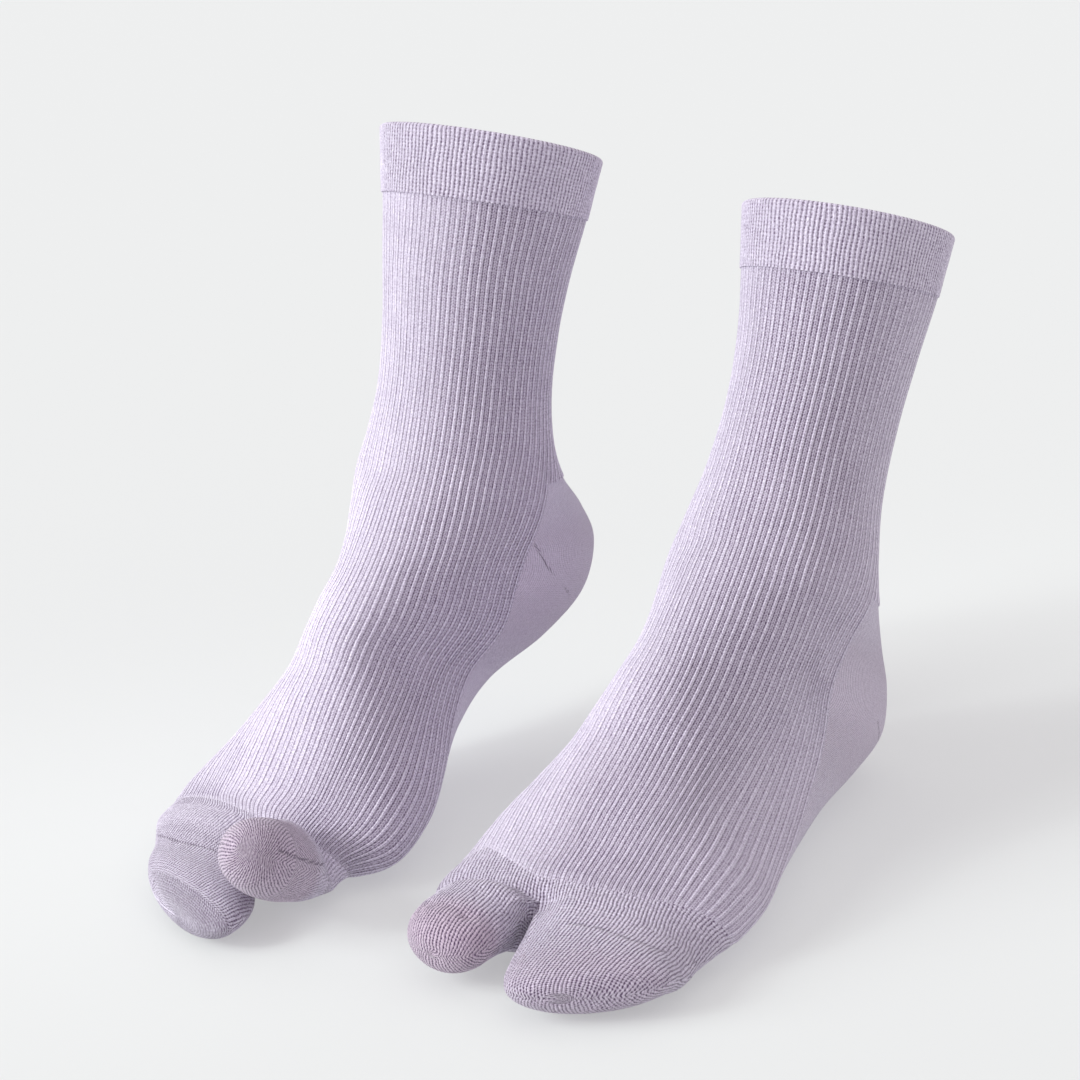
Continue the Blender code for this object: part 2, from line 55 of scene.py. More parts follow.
# the socks' form, in mm, in each sock's own frame: toes to -Y, outer side to +X, floor at z = 0;
# a section is a ring through a front (instep) and a back (heel or sole) point. Its fuller columns, the same
# for both socks, top to toe: belly moves the widest place back, ridge moves the front sideways, and box is
# the power that makes the ring squarer below 1
sectionForm = {
    "belly": (0, 0, 0, 0, 0, 0.02, 0.05, 0.08, 0.1, 0.14, 0.2, 0.25, 0.3, 0.33, 0.36, 0.38, 0.4, 0.4),
    "ridge": (0, 0, 0, 0, 0, 0, 0, -1, -2, -3, -4, -5, -6, -6, -5, -4, -2, 0),
    "box": (1, 1, 1, 1, 1, 1, 1, 1, 1, 1, 0.95, 0.95, 0.95, 0.93, 0.92, 0.9, 0.88, 0.88),
}
leftSock = {
    "hand": "left", "at": (0, 0), "yaw": 0, "mirrored": False, "splitX": -4.5,
    # frontY frontZ backY backZ outerW innerW skew shift, and side: where the side line lies
    "sections": {
        "cuffTop": (-38.7, 212.6, 38.3, 185, 36.7, 35, 0, 0, 0.625),
        "cuffLow": (-44.8, 189.7, 30.2, 165.8, 34.2, 31.8, 0, 0, 0.625),
        "shinHigh": (-51, 167.8, 19.8, 145, 30.9, 29, 0, 0, 0.625),
        "shin": (-58.9, 147.4, 7.6, 121.5, 28.6, 28.3, 0, 0, 0.625),
        "shinLow": (-69.8, 127.6, -6.3, 97.6, 29.5, 30, 0, 0, 0.62),
        "ankleHigh": (-81.4, 113.5, -16.8, 78.9, 33.5, 32.7, 0, 0, 0.6),
        "ankle": (-94, 102.8, -18.4, 62, 36.3, 35, 0, 0, 0.54),
        "heelHigh": (-106, 94, -10.1, 43.2, 36.6, 35.1, 0, 0, 0.46),
        "heelMid": (-115.8, 87.2, -1.5, 23.9, 37, 34.4, 0, 0, 0.41),
        "heelLow": (-124.7, 80.7, -5.4, 7.4, 37.2, 34.8, 0, 0, 0.41),
        "heelSole": (-134.6, 73.5, -28.2, 1.6, 35.4, 35.3, 0, 0, 0.5),
        "archBack": (-143, 65.7, -61.8, 0.8, 36.6, 36.5, 0, 0, 0.58),
        "arch": (-151.3, 56, -95.8, 1, 41.3, 38.8, 0, 0, 0.61),
        "waist": (-161.6, 49.1, -126, 1, 46.5, 41.5, 0, 0, 0.615),
        "ballBack": (-173.4, 42.4, -153.2, 0.8, 50.7, 44.6, 0.04, 0, 0.6),
        "ball": (-186.1, 34.8, -176.7, 0.6, 50.8, 45, 0.08, 0, 0.58),
        "toeLine": (-196, 29.2, -190, 0.8, 47.4, 48, 0.13, 0.6, 0.56),
        "split": (-205, 26.4, -202.4, 0.8, 44.2, 41.5, 0.15, 2, 0.56),
    },
    # toe pockets, a row per ring: x y z halfW up down yaw pitch round
    "bigToe": (
        (-23.8, -211.2, 15.8, 16.2, 11.8, 12.8, 0, -2, 0.45),
        (-23.8, -218, 15.5, 15.4, 10.8, 12, 0, -2, 0.85),
        (-23.7, -225, 15.1, 15, 10.5, 11.4, 0, -3, 1),
        (-23.4, -231.4, 14.5, 13.8, 9.8, 10.6, 0, -5, 1),
        (-23.1, -236, 14, 11, 8.1, 8.7, 0, -8, 1),
        (-23, -238.7, 13.5, 6.6, 5.1, 5.4, 0, -10, 1),
    ),
    "mitten": (
        (21.2, -211.7, 11.6, 26.8, 11, 11.2, 7, -2, 0.45),
        (22.1, -218.6, 11.3, 25.6, 10, 10.6, 11.5, -3, 0.85),
        (22.8, -225.4, 11.1, 24.2, 9, 10, 16.9, -4, 1),
        (22.9, -232, 11, 21.8, 8, 9.2, 22.3, -6, 1),
        (22.3, -236.9, 10.8, 17.6, 6.7, 7.6, 26.3, -8, 1),
        (21.7, -239.9, 10.6, 10.7, 4.4, 4.9, 28.9, -10, 1),
    ),
    # soft folds: ax ay az bx by bz width depth
    "folds": [
        (-30, -88, 104, 30, -88, 104, 7, -0.8),
        (-34, -227, 24, -17, -229.5, 24, 2.2, -0.7),
        (-17, -229.5, 24, -11, -225, 21, 2.2, -0.7),
    ],
    # heel seam: section and rib numbers, from the side line to the back of the lower heel
    "heelSeam": [(8.9, 59), (9.15, 57.6), (9.35, 55.5)],
    # short-row seams on the toe cap, as runs of points
    "toeSeams": [[(11, -215.4, 21.5), (21.3, -214.1, 21.8), (31.3, -213.6, 20.4), (39.8, -210.5, 17.3),
                  (46.2, -199, 10)]],
    # pinker yarn on a pocket: mm past the split where it starts and where it is full, and its share
    "bigToeTint": (13, 24, 1), "mittenTint": (16, 30, 0.35),
    # how far the slits break into holes, and how deep the painted shade in them is, at the toe line and at
    # the tips of the pockets
    "ringHoles": 0, "bigToeHoles": 0.2, "mittenHoles": 0.75,
    # how many sections past the ring `toeLine` the toe line lies, by rib number
    "toeLine": [(0, -0.6), (8.3, -0.75), (12.6, -0.1), (16.2, 0.38), (23.8, 0.5), (29.8, 0.25),
                (35.3, -0.38), (37, -0.5), (40, -0.6), (52, -0.2), (64, -0.6)],
    # painted shade in the rib gaps and sunk wales, by rib number: less on the ribs facing the lamps, so the
    # lit side is lighter
    "gapShadeByRib": [(0, 0.8), (8, 0.4), (13, 0.5), (18, 1), (21, 1.2), (28, 1.15), (34, 0.85),
                     (38, 0.75), (52, 0.9), (64, 0.8)],
    # how many ribs' width ribs 8, 16, 24 and 32 lie further out than evenly, at sections 4 to 17
    "ribDrift": [(0, 0, 0, 0), (0, 0.1, 0, -0.3), (0.4, 0.5, 0.3, 0), (0.9, 1.2, 1, 1),
                 (1.4, 1.8, 1.5, 1.6), (1.9, 2.4, 1.6, 1.5), (2.3, 3, 1.3, 0.5), (2.3, 3, 1.1, -0.4),
                 (1.8, 2.4, 0.8, -1), (1.4, 1.8, 0.6, -1.4), (1.1, 1.3, 0.3, -1.4),
                 (0.9, 0.9, 0.3, -1), (1.2, 0.9, 0.6, -0.2), (-1, -0.6, -0.2, -0.2)],
    # the cut of each piece: width and length of its flat form in m, and its area in square m
    "cut": {"cuff": (0.222, 0.027, None), "leg": (0.2, 0.23, 0.038), "heel_sole": (0.12, 0.2, 0.0225),
            "toe": (0.125, 0.09, 0.0098)},
}
rightSock = {
    "hand": "right", "at": (-118, 3), "yaw": -2, "mirrored": True, "splitX": -9,
    "sections": {
        "cuffTop": (-83.8, 235.4, -10.9, 211.4, 38.1, 41, 0, 0, 0.625),
        "cuffLow": (-88.1, 211.4, -15.8, 191, 34.4, 36.7, 0, 0, 0.625),
        "shinHigh": (-91.6, 189.2, -21.8, 173.6, 31.7, 33, 0, 0, 0.625),
        "shin": (-94.6, 167.4, -28.1, 153.7, 29.3, 30.6, 0, 0, 0.625),
        "shinLow": (-98.6, 145.3, -33.2, 132.1, 28.8, 30.3, 0, 0, 0.62),
        "ankleHigh": (-104.3, 128.3, -35.5, 115.3, 31.1, 33.1, 0, 0, 0.6),
        "ankle": (-113.1, 114.6, -31.2, 101.4, 33.3, 36.4, 0, 0, 0.54),
        "heelHigh": (-122.2, 103.2, -17.6, 87.2, 33.4, 38, 0, 0, 0.46),
        "heelMid": (-130.1, 94.5, -6.5, 70, 32.5, 37.8, 0, 0, 0.4),
        "heelLow": (-138, 87.4, -12.4, 50.2, 32.8, 34.9, 0, 0, 0.41),
        "heelSole": (-147.6, 80.1, -38.1, 38.1, 32.9, 29.6, 0, 0, 0.5),
        "archBack": (-155.5, 72.2, -73.2, 30.9, 32.3, 24.6, 0, 0, 0.58),
        "arch": (-161.6, 61.9, -101.9, 22.4, 34.2, 27.5, 0, 0, 0.61),
        "waist": (-169.4, 51.6, -125.4, 13.3, 38.8, 34.9, 0, 0, 0.615),
        "ballBack": (-177.3, 40.6, -149.1, 5.2, 44.1, 43.4, 0.04, 0, 0.6),
        "ball": (-186.3, 29.6, -173.2, 1, 46.6, 47.4, 0.08, 1, 0.58),
        "toeLine": (-194.4, 23.8, -188.3, 0.8, 42.7, 40.2, 0.12, 1.8, 0.56),
        "split": (-201.7, 22.4, -198.3, 0.8, 40.1, 41.7, 0.14, 1.3, 0.56),
    },
    "bigToe": (
        (-27.6, -209.8, 15, 14.3, 12.5, 13.4, 0, 8, 0.45),
        (-32, -220.6, 20, 13.8, 12.7, 13.2, 0, 15, 0.85),
        (-35.8, -231.8, 25.8, 13.6, 12.8, 13, 0, 21, 1),
        (-37.6, -240.8, 31, 12.6, 11.9, 12.1, 0, 26, 1),
        (-38, -246.4, 34.8, 10.2, 9.7, 10, 0, 31, 1),
        (-38.2, -249.9, 37.4, 6.1, 5.9, 6, 0, 34, 1),
    ),
    "mitten": (
        (14.6, -205.6, 11.2, 23.2, 10.2, 10.6, 8.8, -3, 0.45),
        (7.4, -214.6, 10.4, 24.4, 9, 10.2, 11.6, -3, 0.85),
        (-1.9, -224.8, 9.4, 27.6, 8, 9.7, 14.6, -4, 1),
        (-7.2, -236.1, 8.9, 27.2, 8.2, 9.2, 17.2, -5, 1),
        (-10.6, -244.5, 8.2, 22.4, 6.8, 7.8, 19.3, -7, 1),
        (-12.3, -249.6, 7.7, 13.4, 4.4, 5, 20.3, -9, 1),
    ),
    "folds": [
        (-30, -109, 116, 30, -109, 116, 7, -0.8),
    ],
    "heelSeam": [(7.7, 63.8), (8.38, 62.2), (9, 59.5), (9.3, 57)],
    "toeSeams": [[(28, -211, 11), (25.4, -214.9, 13), (12.9, -220.6, 16.5), (2.9, -222.2, 17.6),
                  (-6, -222.4, 17.9)],
                 [(-48.9, -243, 36.4), (-50.1, -237.5, 32.4), (-47.9, -226.4, 25.6), (-42, -212, 17.5)]],
    "bigToeTint": (13, 24, 0.8), "mittenTint": (16, 30, 0),
    "ringHoles": -0.8, "bigToeHoles": 0.3, "mittenHoles": 0.7,
    "toeLine": [(0, 0), (6.9, 0.25), (17.2, 0.55), (22.9, 0.65), (36, 0.25), (40, 0.1), (52, 0),
                (64, 0)],
    # painted shade in the rib gaps and sunk wales, by rib number: less on the ribs facing the lamps
    "gapShadeByRib": [(0, 1), (8, 1.15), (14, 1.1), (19, 0.7), (24, 0.35), (40, 0.45), (52, 0.9),
                     (64, 1)],
    "ribDrift": [(0, 0, 0, 0), (0.2, 0.1, 0, 0), (0, -0.2, -0.3, 0), (-0.3, -0.3, -0.3, -0.2),
                 (-0.7, -0.5, 0, 0), (-0.8, -0.6, -0.3, -0.2), (-0.7, -0.8, -0.8, -0.5),
                 (-0.8, -1.1, -0.8, -0.5), (-0.2, -0.8, -0.1, 0), (0.8, -0.4, 0.6, 0.5),
                 (1.1, -0.2, 0.9, 0.8), (0.3, -0.9, 0.8, 0.8), (-2.3, -3.3, -0.4, 0.2),
                 (-3, -4.6, -2.5, -0.8)],
    "cut": {"cuff": (0.228, 0.027, None), "leg": (0.19, 0.22, 0.035), "heel_sole": (0.12, 0.2, 0.0215),
            "toe": (0.125, 0.105, 0.0115)},
}
sectionAt = {name: number for number, name in enumerate(leftSock["sections"])}
cuffTopLeft = leftSock["sections"]["cuffTop"]
# the shared frame's origin: the centre of the left sock's leg opening
heldAt = np.array([(cuffTopLeft[4] - cuffTopLeft[5]) / 2, (cuffTopLeft[0] + cuffTopLeft[2]) / 2,
                   (cuffTopLeft[1] + cuffTopLeft[3]) / 2])

knit = {
    "instepRibs": 40,        # ribs over the instep
    "backRibs": 24,          # ribs round the back of the leg
    "ribRise": 0.60,         # mm, a rib over the groove beside it
    "wall": 1.2,             # mm, thickness of the knit
    "waleWidth": 1.25,       # mm, width of a stitch in the plain parts
    "driftFrom": 4,          # section of the first row of ribDrift
    "driftEvery": 8,         # ribs from one of its columns to the next
}
allRibs = knit["instepRibs"] + knit["backRibs"]
# where the toes part: mm the top sinks at one section past the toe line, mm of half width, share below
dimple = {"notch": 5.0, "width": 6.5, "under": 0.3}


# Catmull-Rom curve through the section rows, read at section numbers `at`:
# p = (2 p1 + (p2 - p0) t + (2 p0 - 5 p1 + 4 p2 - p3) t^2 + (3 p1 - p0 - 3 p2 + p3) t^3) / 2
def alongRows(rows, at):
    rows = np.asarray(rows, float)
    i = np.clip(np.floor(at).astype(int), 0, len(rows) - 2)
    t = (at - i).reshape((-1,) + (1,) * (rows.ndim - 1))
    p0, p1 = rows[np.maximum(i - 1, 0)], rows[i]
    p2, p3 = rows[i + 1], rows[np.minimum(i + 2, len(rows) - 1)]
    return 0.5 * (2 * p1 + (p2 - p0) * t + (2 * p0 - 5 * p1 + 4 * p2 - p3) * t ** 2
                  + (3 * p1 - p0 - 3 * p2 + p3) * t ** 3)


# ring points for angle a from the front: across = sign(sin a) |sin a|^box times the side's half width,
# along = cos a - belly sin^2 a between the back point (-1) and the front point (+1)
def sectionRings(rows, angle):
    frontY, frontZ, backY, backZ, outerW, innerW, skew, shift, _, belly, ridge, box = rows.T[:, :, None]
    c, s = np.cos(angle), np.sin(angle)
    along = c - belly * s * s
    x = np.sign(s) * np.abs(s) ** box * np.where(s > 0, outerW, innerW) + ridge * (1 + c) / 2
    y = (frontY + backY) / 2 + (frontY - backY) / 2 * along
    z = (frontZ + backZ) / 2 + (frontZ - backZ) / 2 * along
    return np.stack([x + shift, y + skew * x, z], -1)


# length from the first point on along an axis of a grid: the running sum of the distances between points
def runLength(grid, axis=0):
    steps = np.linalg.norm(np.diff(grid, axis=axis), axis=-1)
    return np.insert(np.cumsum(steps, axis=axis), 0, 0, axis=axis)


# skin points at column positions counted in ribs: 0 to 40 from the inner side line over the instep to the
# outer one, 40 to 64 on round the back, evenly spaced but for the drift of the instep's ribs
def knitGrid(sock, at, ribs):
    rows = np.column_stack([list(sock["sections"].values()), *sectionForm.values()])
    rows = alongRows(rows, at)
    half = 720
    fine = sectionRings(rows, np.linspace(-math.pi, math.pi, 2 * half + 1))
    arc = runLength(fine, 1)
    mid, end, side = arc[:, half], arc[:, -1], rows[:, 8]
    inner, outer = mid * (1 - side), mid + side * (end - mid)
    front, back = knit["instepRibs"], knit["backRibs"]
    driftAt = np.maximum(at, knit["driftFrom"]) - knit["driftFrom"]
    drift = np.pad(alongRows(sock["ribDrift"], driftAt), ((0, 0), (1, 1)))
    ribs = ribs + alongRows(drift.T, np.clip(ribs / knit["driftEvery"], 0, 5)).T
    over = inner[:, None] + (outer - inner)[:, None] * ribs / front
    under = outer[:, None] + (end + inner - outer)[:, None] * (ribs - front) / back
    want = np.where(ribs <= front, over, under) % end[:, None]
    return np.array([[np.interp(w, a, f[:, k]) for k in range(3)]
                     for w, a, f in zip(want, arc, fine)]).transpose(0, 2, 1)


# the skin with the dimple where the toes part: its top sinks towards the split by
# notch * (sections past the toe line)^2 * exp(-((x - split) / width)^2), and its underside rises by a part
def skinGrid(sock, at, ribs):
    grid = knitGrid(sock, at, ribs)
    level = grid[:, :, 2].mean(axis=1, keepdims=True)
    past = np.clip(np.asarray(at) - sectionAt["toeLine"], 0, None)[:, None] ** 2
    dip = dimple["notch"] * past * np.exp(-((grid[:, :, 0] - sock["splitX"]) / dimple["width"]) ** 2)
    grid[:, :, 2] += np.where(grid[:, :, 2] > level, -dip, dip * dimple["under"])
    grid[:, -1] = grid[:, 0]
    return grid


# rows of a grid read between its own rows, at a section number for every point (linear)
def atSections(grid, sections, want):
    number = np.interp(want, sections, np.arange(len(sections)))
    low = np.clip(np.floor(number).astype(int), 0, len(sections) - 2)
    share = (number - low)[..., None]
    below = np.take_along_axis(grid, low[..., None], axis=0)
    above = np.take_along_axis(grid, low[..., None] + 1, axis=0)
    return below * (1 - share) + above * share


# how many sections past the ring `toeLine` the toe line lies at each rib
def toeLineShift(sock, ribs):
    return np.interp(ribs, *np.array(sock["toeLine"]).T)


# skin points and unit normals for pieces between the ankle and the toe line, whose last row is the toe line
def footSkin(sock, at, ribs):
    dense = np.concatenate([np.linspace(at[0] - 0.06, 15, 2 * len(at)), np.linspace(15, 17.2, 60)[1:]])
    grid = skinGrid(sock, dense, ribs)
    normal = ringNormals(grid)
    want = at[:, None] + toeLineShift(sock, ribs) * smoothStep(12.5, sectionAt["toeLine"], at)[:, None]
    base, normal = atSections(grid, dense, want), atSections(normal, dense, want)
    return base, normal / np.linalg.norm(normal, axis=2, keepdims=True)


# unit normals of a grid whose rows are closed rings, the last column on the first: the cross product of the
# differences down and across, pointing outwards
def ringNormals(grid):
    down = np.gradient(grid[:, :-1], axis=0)
    across = np.roll(grid[:, :-1], -1, 1) - np.roll(grid[:, :-1], 1, 1)
    normal = np.cross(down, across)
    normal /= np.maximum(np.linalg.norm(normal, axis=2, keepdims=True), 1e-9)
    return np.concatenate([normal, normal[:, :1]], axis=1)


# 0 below low, 1 above high, 3t^2 - 2t^3 between
def smoothStep(low, high, x):
    t = np.clip((x - low) / (high - low), 0, 1)
    return t * t * (3 - 2 * t)


# free edges of a patch, by side: where a kept cell has no kept neighbour, unless that side joins a patch
def freeEdges(keep, joined):
    padded = np.pad(keep, 1)
    if "top" in joined:
        padded[0] = padded[1]
    if "bottom" in joined:
        padded[-1] = padded[-2]
    if "sides" in joined:
        padded[:, 0], padded[:, -1] = padded[:, -2], padded[:, 1]
    core = padded[1:-1, 1:-1]
    return {"top": core & ~padded[:-2, 1:-1], "bottom": core & ~padded[2:, 1:-1],
            "left": core & ~padded[1:-1, :-2], "right": core & ~padded[1:-1, 2:]}


# rim faces at the free cells of one side: the fine edge of a cell outside and its plain edge inside
def rimFaces(side, free, steps, numbers, inside):
    r, c = np.nonzero(free)
    if side in ("top", "bottom"):
        line = r + (side == "bottom")
        chain = numbers[(line * steps[0])[:, None], c[:, None] * steps[1] + np.arange(steps[1] + 1)]
        back = np.stack([inside[line, c + 1], inside[line, c]], -1)
    else:
        line = c + (side == "right")
        chain = numbers[r[:, None] * steps[0] + np.arange(steps[0] + 1), (line * steps[1])[:, None]]
        back = np.stack([inside[r + 1, line], inside[r, line]], -1)
    rim = np.concatenate([chain, back], axis=1)
    return rim if side in ("top", "right") else rim[:, ::-1]


# faces as one run of corners and a size each, without corners that the weld puts on the next one
def weldFaces(blocks, weld):
    corners, sizes = [], []
    for block in blocks:
        same = weld[block] == weld[np.roll(block, -1, axis=1)]
        lost = same.sum(1)
        for count in np.unique(lost):
            if block.shape[1] - count < 3:
                continue
            part = block[lost == count]
            part = part[~same[lost == count]].reshape(len(part), -1)
            corners.append(part.ravel())
            sizes.append(np.full(len(part), part.shape[1]))
    return np.concatenate(corners), np.concatenate(sizes)


# puts patches of skin together into one closed, thin wall. Each patch is a grid of outer points (fine) with
# a grid of inner points behind every steps[0]-th row and steps[1]-th column, kept cell by cell. Points at
# the same place are welded, so that patches and closed rings join, and a rim runs round every free edge.
def makeShell(name, patches, sock, material):
    points, uv, extra, quads, rims = [], [], {}, [], []
    start = 0
    for patch in patches:
        outer, inner, keep = patch["outer"], patch["inner"], patch["keep"]
        stepR, stepC = patch["steps"]
        numbers = start + np.arange(outer.shape[0] * outer.shape[1]).reshape(outer.shape[:2])
        start += numbers.size
        inside = start + np.arange(inner.shape[0] * inner.shape[1]).reshape(inner.shape[:2])
        start += inside.size
        points += [outer.reshape(-1, 3), inner.reshape(-1, 3)]
        uv += [patch["uv"].reshape(-1, 2), patch["uv"][::stepR, ::stepC].reshape(-1, 2)]
        for key, usual in (("rise", 1.0), ("tint", 0.0), ("seam", 9.0)):
            value = patch.get(key, np.full(outer.shape[:2], usual))
            extra.setdefault(key, []).extend([value.ravel(), value[::stepR, ::stepC].ravel()])
        fineKeep = np.repeat(np.repeat(keep, stepR, 0), stepC, 1)
        for grid, mask, turned in ((numbers, fineKeep, False), (inside, keep, True)):
            q = np.stack([grid[:-1, :-1], grid[1:, :-1], grid[1:, 1:], grid[:-1, 1:]], -1)[mask]
            quads.append(q[:, ::-1] if turned else q)
        for side, free in freeEdges(keep, patch["joined"]).items():
            rims.append(rimFaces(side, free, patch["steps"], numbers, inside))
    points, uv = np.concatenate(points), np.concatenate(uv)
    # weld: one number for all points at the same place
    _, first, weld = np.unique(np.round(points, 4), axis=0, return_index=True, return_inverse=True)
    weld = weld.ravel()
    corners, sizes = weldFaces([*quads, *rims], weld)
    places = points[first] * mm
    if sock["mirrored"]:
        # the other hand: mirrored in X, with every face's corners taken the other way round
        places[:, 0] *= -1
        ends = np.cumsum(sizes)
        order = np.repeat(ends + (ends - sizes) - 1, sizes) - np.arange(len(corners))
        corners = corners[order]
    yaw = math.radians(sock["yaw"])
    turn = np.array([[math.cos(yaw), -math.sin(yaw), 0], [math.sin(yaw), math.cos(yaw), 0], [0, 0, 1]])
    places = places @ turn.T + (np.array([*sock["at"], 0.0]) - heldAt) * mm
    mesh = bpy.data.meshes.new(name)
    mesh.vertices.add(len(places))
    mesh.vertices.foreach_set("co", places.ravel())
    mesh.loops.add(len(corners))
    mesh.loops.foreach_set("vertex_index", weld[corners])
    mesh.polygons.add(len(sizes))
    mesh.polygons.foreach_set("loop_start", np.cumsum(sizes) - sizes)
    mesh.uv_layers.new(name="knit").data.foreach_set("uv", uv[corners].ravel())
    for key, values in extra.items():
        layer = mesh.attributes.new(key, "FLOAT", "CORNER")
        layer.data.foreach_set("value", np.concatenate(values)[corners])
    mesh.update(calc_edges=True)
    mesh.validate()
    mesh.shade_smooth()
    mesh.set_sharp_from_angle(angle=math.radians(75))
    mesh.materials.append(material)
    piece = bpy.data.objects.new(name, mesh)
    bpy.context.scene.collection.objects.link(piece)
    return piece


# distance from points to the run of straight lines through `line`: the least of the distances to each part
def lineDistance(points, line):
    nearest = np.full(points.shape[:-1], 1e6)
    for a, b in zip(line[:-1], line[1:]):
        t = np.clip(((points - a) @ (b - a)) / ((b - a) @ (b - a)), 0, 1)
        nearest = np.minimum(nearest, np.linalg.norm(points - a - t[..., None] * (b - a), axis=-1))
    return nearest


# distance from points to the nearest of several lines
def linesDistance(points, lines):
    return np.min([lineDistance(points, np.array(line)) for line in lines], axis=0)


# soft folds: each is a straight line in the sock's own frame, from (ax, ay, az) to (bx, by, bz); the skin
# moves by depth * exp(-(distance / width)^2), a trough where depth is negative
def foldDepth(points, folds):
    total = np.zeros(points.shape[:-1])
    for *ends, width, depth in folds:
        distance = lineDistance(points, np.array(ends).reshape(2, 3))
        total += depth * np.exp(-(distance / width) ** 2)
    return total


# slow waves that keep ribs and edges from being ruler straight: a sum of three sines of the two coordinates
def wander(a, b, seed):
    return (np.sin(0.9 * a + 1.7 * b + seed) + np.sin(2.3 * a - 0.8 * b + 2.1 * seed)
            + np.sin(0.37 * a + 3.1 * b + 3.7 * seed)) / 3


# a rib's height over its groove, read between fixed stops along one rib (0 to 1):
# a lower wale round 0, grooves at 0.25 and 0.75, a raised wale between them
ribStops = np.array([0, .125, .25, .375, .5, .625, .75, .875])
ribHeights = np.array([.62, .4, 0, .62, 1, .62, 0, .4])


def ribProfile(phase):
    return np.interp(phase % 1, np.append(ribStops, 1), np.append(ribHeights, ribHeights[0]))


# the wall's two skins: outer = smooth skin + normal * (rise + bend), inner = smooth skin
# + normal * (bend - wall)
def bothSkins(base, normal, rise, bend):
    outer = base + normal * (rise + bend)[..., None]
    return outer, base + normal * (bend - knit["wall"])[..., None]


# leg and instep: one ribbed tube, open at the back below the ankle, its skin raised by
# rib rise * rib profile
def makeLeg(sock, material):
    # drift: how far ribs sway, in ribs, over how many mm and ribs; driftSide: ribs from a side edge where
    # it is full; fade: mm from the toe line and ribs from a side edge where the ribs are full
    legWork = {"perRib": 8, "rowStep": 4, "tubeRows": 80, "instepRows": 120, "firstRow": 0.93,
               "drift": 0.10, "driftOver": (14, 5), "driftSide": 3, "fade": (3.0, 0.5)}
    ankle, toeLine = sectionAt["ankle"], sectionAt["toeLine"]
    at = np.concatenate([np.linspace(legWork["firstRow"], ankle, legWork["tubeRows"] + 1),
                         np.linspace(ankle, toeLine, legWork["instepRows"] + 1)[1:]])
    ribs = np.linspace(0, allRibs, allRibs * legWork["perRib"] + 1)
    base, normal = footSkin(sock, at, ribs)
    length = runLength(base[:, knit["instepRibs"] // 2 * legWork["perRib"]])
    # the ribs drift a little to either side, and die out at the toe line and the side edges
    overLength, overRibs = legWork["driftOver"]
    seed = 1.0 if sock["mirrored"] else 4.0
    drift = legWork["drift"] * wander(length[:, None] / overLength, ribs / overRibs, seed)
    fade = smoothStep(0, legWork["fade"][0], length[-1] - length)[:, None] * np.ones(len(ribs))
    onInstep = at >= ankle
    side = np.minimum(np.abs(ribs), np.abs(ribs - knit["instepRibs"]))
    side = np.minimum(side, np.abs(ribs - allRibs))
    fade[onInstep] *= smoothStep(0, legWork["fade"][1], side)
    drift *= smoothStep(0, legWork["driftSide"], side)
    rise = knit["ribRise"] * fade * ribProfile(ribs + drift)
    outer, inner = bothSkins(base, normal, rise, foldDepth(base, sock["folds"]))
    step, column = legWork["rowStep"], legWork["perRib"]
    outer[:, -1], inner[:, -1] = outer[:, 0], inner[:, 0]
    keep = np.ones((len(at) // step, allRibs), bool)
    keep[legWork["tubeRows"] // step:, knit["instepRibs"]:] = False
    uv = np.stack([ribs + drift, length[:, None] + np.zeros(len(ribs))], -1)
    # how deep the painted shade in the gaps and sunk wales is at each point: less on the lamp-facing ribs
    gapShadeShare = np.interp(ribs, *np.array(sock["gapShadeByRib"]).T) + 0 * uv[..., 0]
    patch = {"outer": outer, "inner": inner[::step, ::column], "keep": keep, "steps": (step, column),
             "joined": "sides", "uv": uv, "rise": gapShadeShare}
    return makeShell(sock["hand"] + "_leg_knit", [patch], sock, material)


# skin points along a line of section numbers `at` and rib numbers
def skinLine(sock, at, ribs):
    return knitGrid(sock, at, ribs)[np.arange(len(at)), np.arange(len(at))]


# heel pocket and sole: plain knit; wale lines lie at equal distances from the middle line of the back. The
# seams sink by depth * exp(-(distance / width)^2)
def makeHeelSole(sock, material):
    # tint: sections over which the deeper yarn of the heel sets in, and over which it ends
    heelWork = {"perRib": 8, "rowStep": 4, "rows": 120, "seamDepth": 0.25, "seamWidth": 0.7,
                "tintFrom": (6.3, 7.8), "tintTo": (9.6, 11.2)}
    at = np.linspace(sectionAt["ankle"], sectionAt["toeLine"], heelWork["rows"] + 1)
    first = knit["instepRibs"] * heelWork["perRib"]
    ribs = np.linspace(0, allRibs, allRibs * heelWork["perRib"] + 1)
    base, normal = footSkin(sock, at, ribs)
    base, normal = base[:, first:], normal[:, first:]
    middle = knit["backRibs"] * heelWork["perRib"] // 2
    across = runLength(base, 1)
    across -= across[:, middle:middle + 1]
    length = runLength(base[:, middle])[:, None] + np.zeros(base.shape[1])
    seamAt, seamRibs = np.array(sock["heelSeam"]).T
    otherSide = knit["instepRibs"] + allRibs - seamRibs
    seam = linesDistance(base, [skinLine(sock, seamAt, number) for number in (seamRibs, otherSide)])
    sunk = heelWork["seamDepth"] * np.exp(-(seam / heelWork["seamWidth"]) ** 2)
    outer, inner = bothSkins(base, normal, -sunk, foldDepth(base, sock["folds"]))
    step, column = heelWork["rowStep"], heelWork["perRib"]
    keep = np.ones((heelWork["rows"] // step, knit["backRibs"]), bool)
    uv = np.stack([across / knit["waleWidth"], length], -1)
    tint = smoothStep(*heelWork["tintFrom"], at) - smoothStep(*heelWork["tintTo"], at)
    patch = {"outer": outer, "inner": inner[::step, ::column], "keep": keep, "steps": (step, column),
             "joined": "", "uv": uv, "seam": seam, "tint": tint[:, None] + 0 * seam}
    return makeShell(sock["hand"] + "_heel_sole_knit", [patch], sock, material)


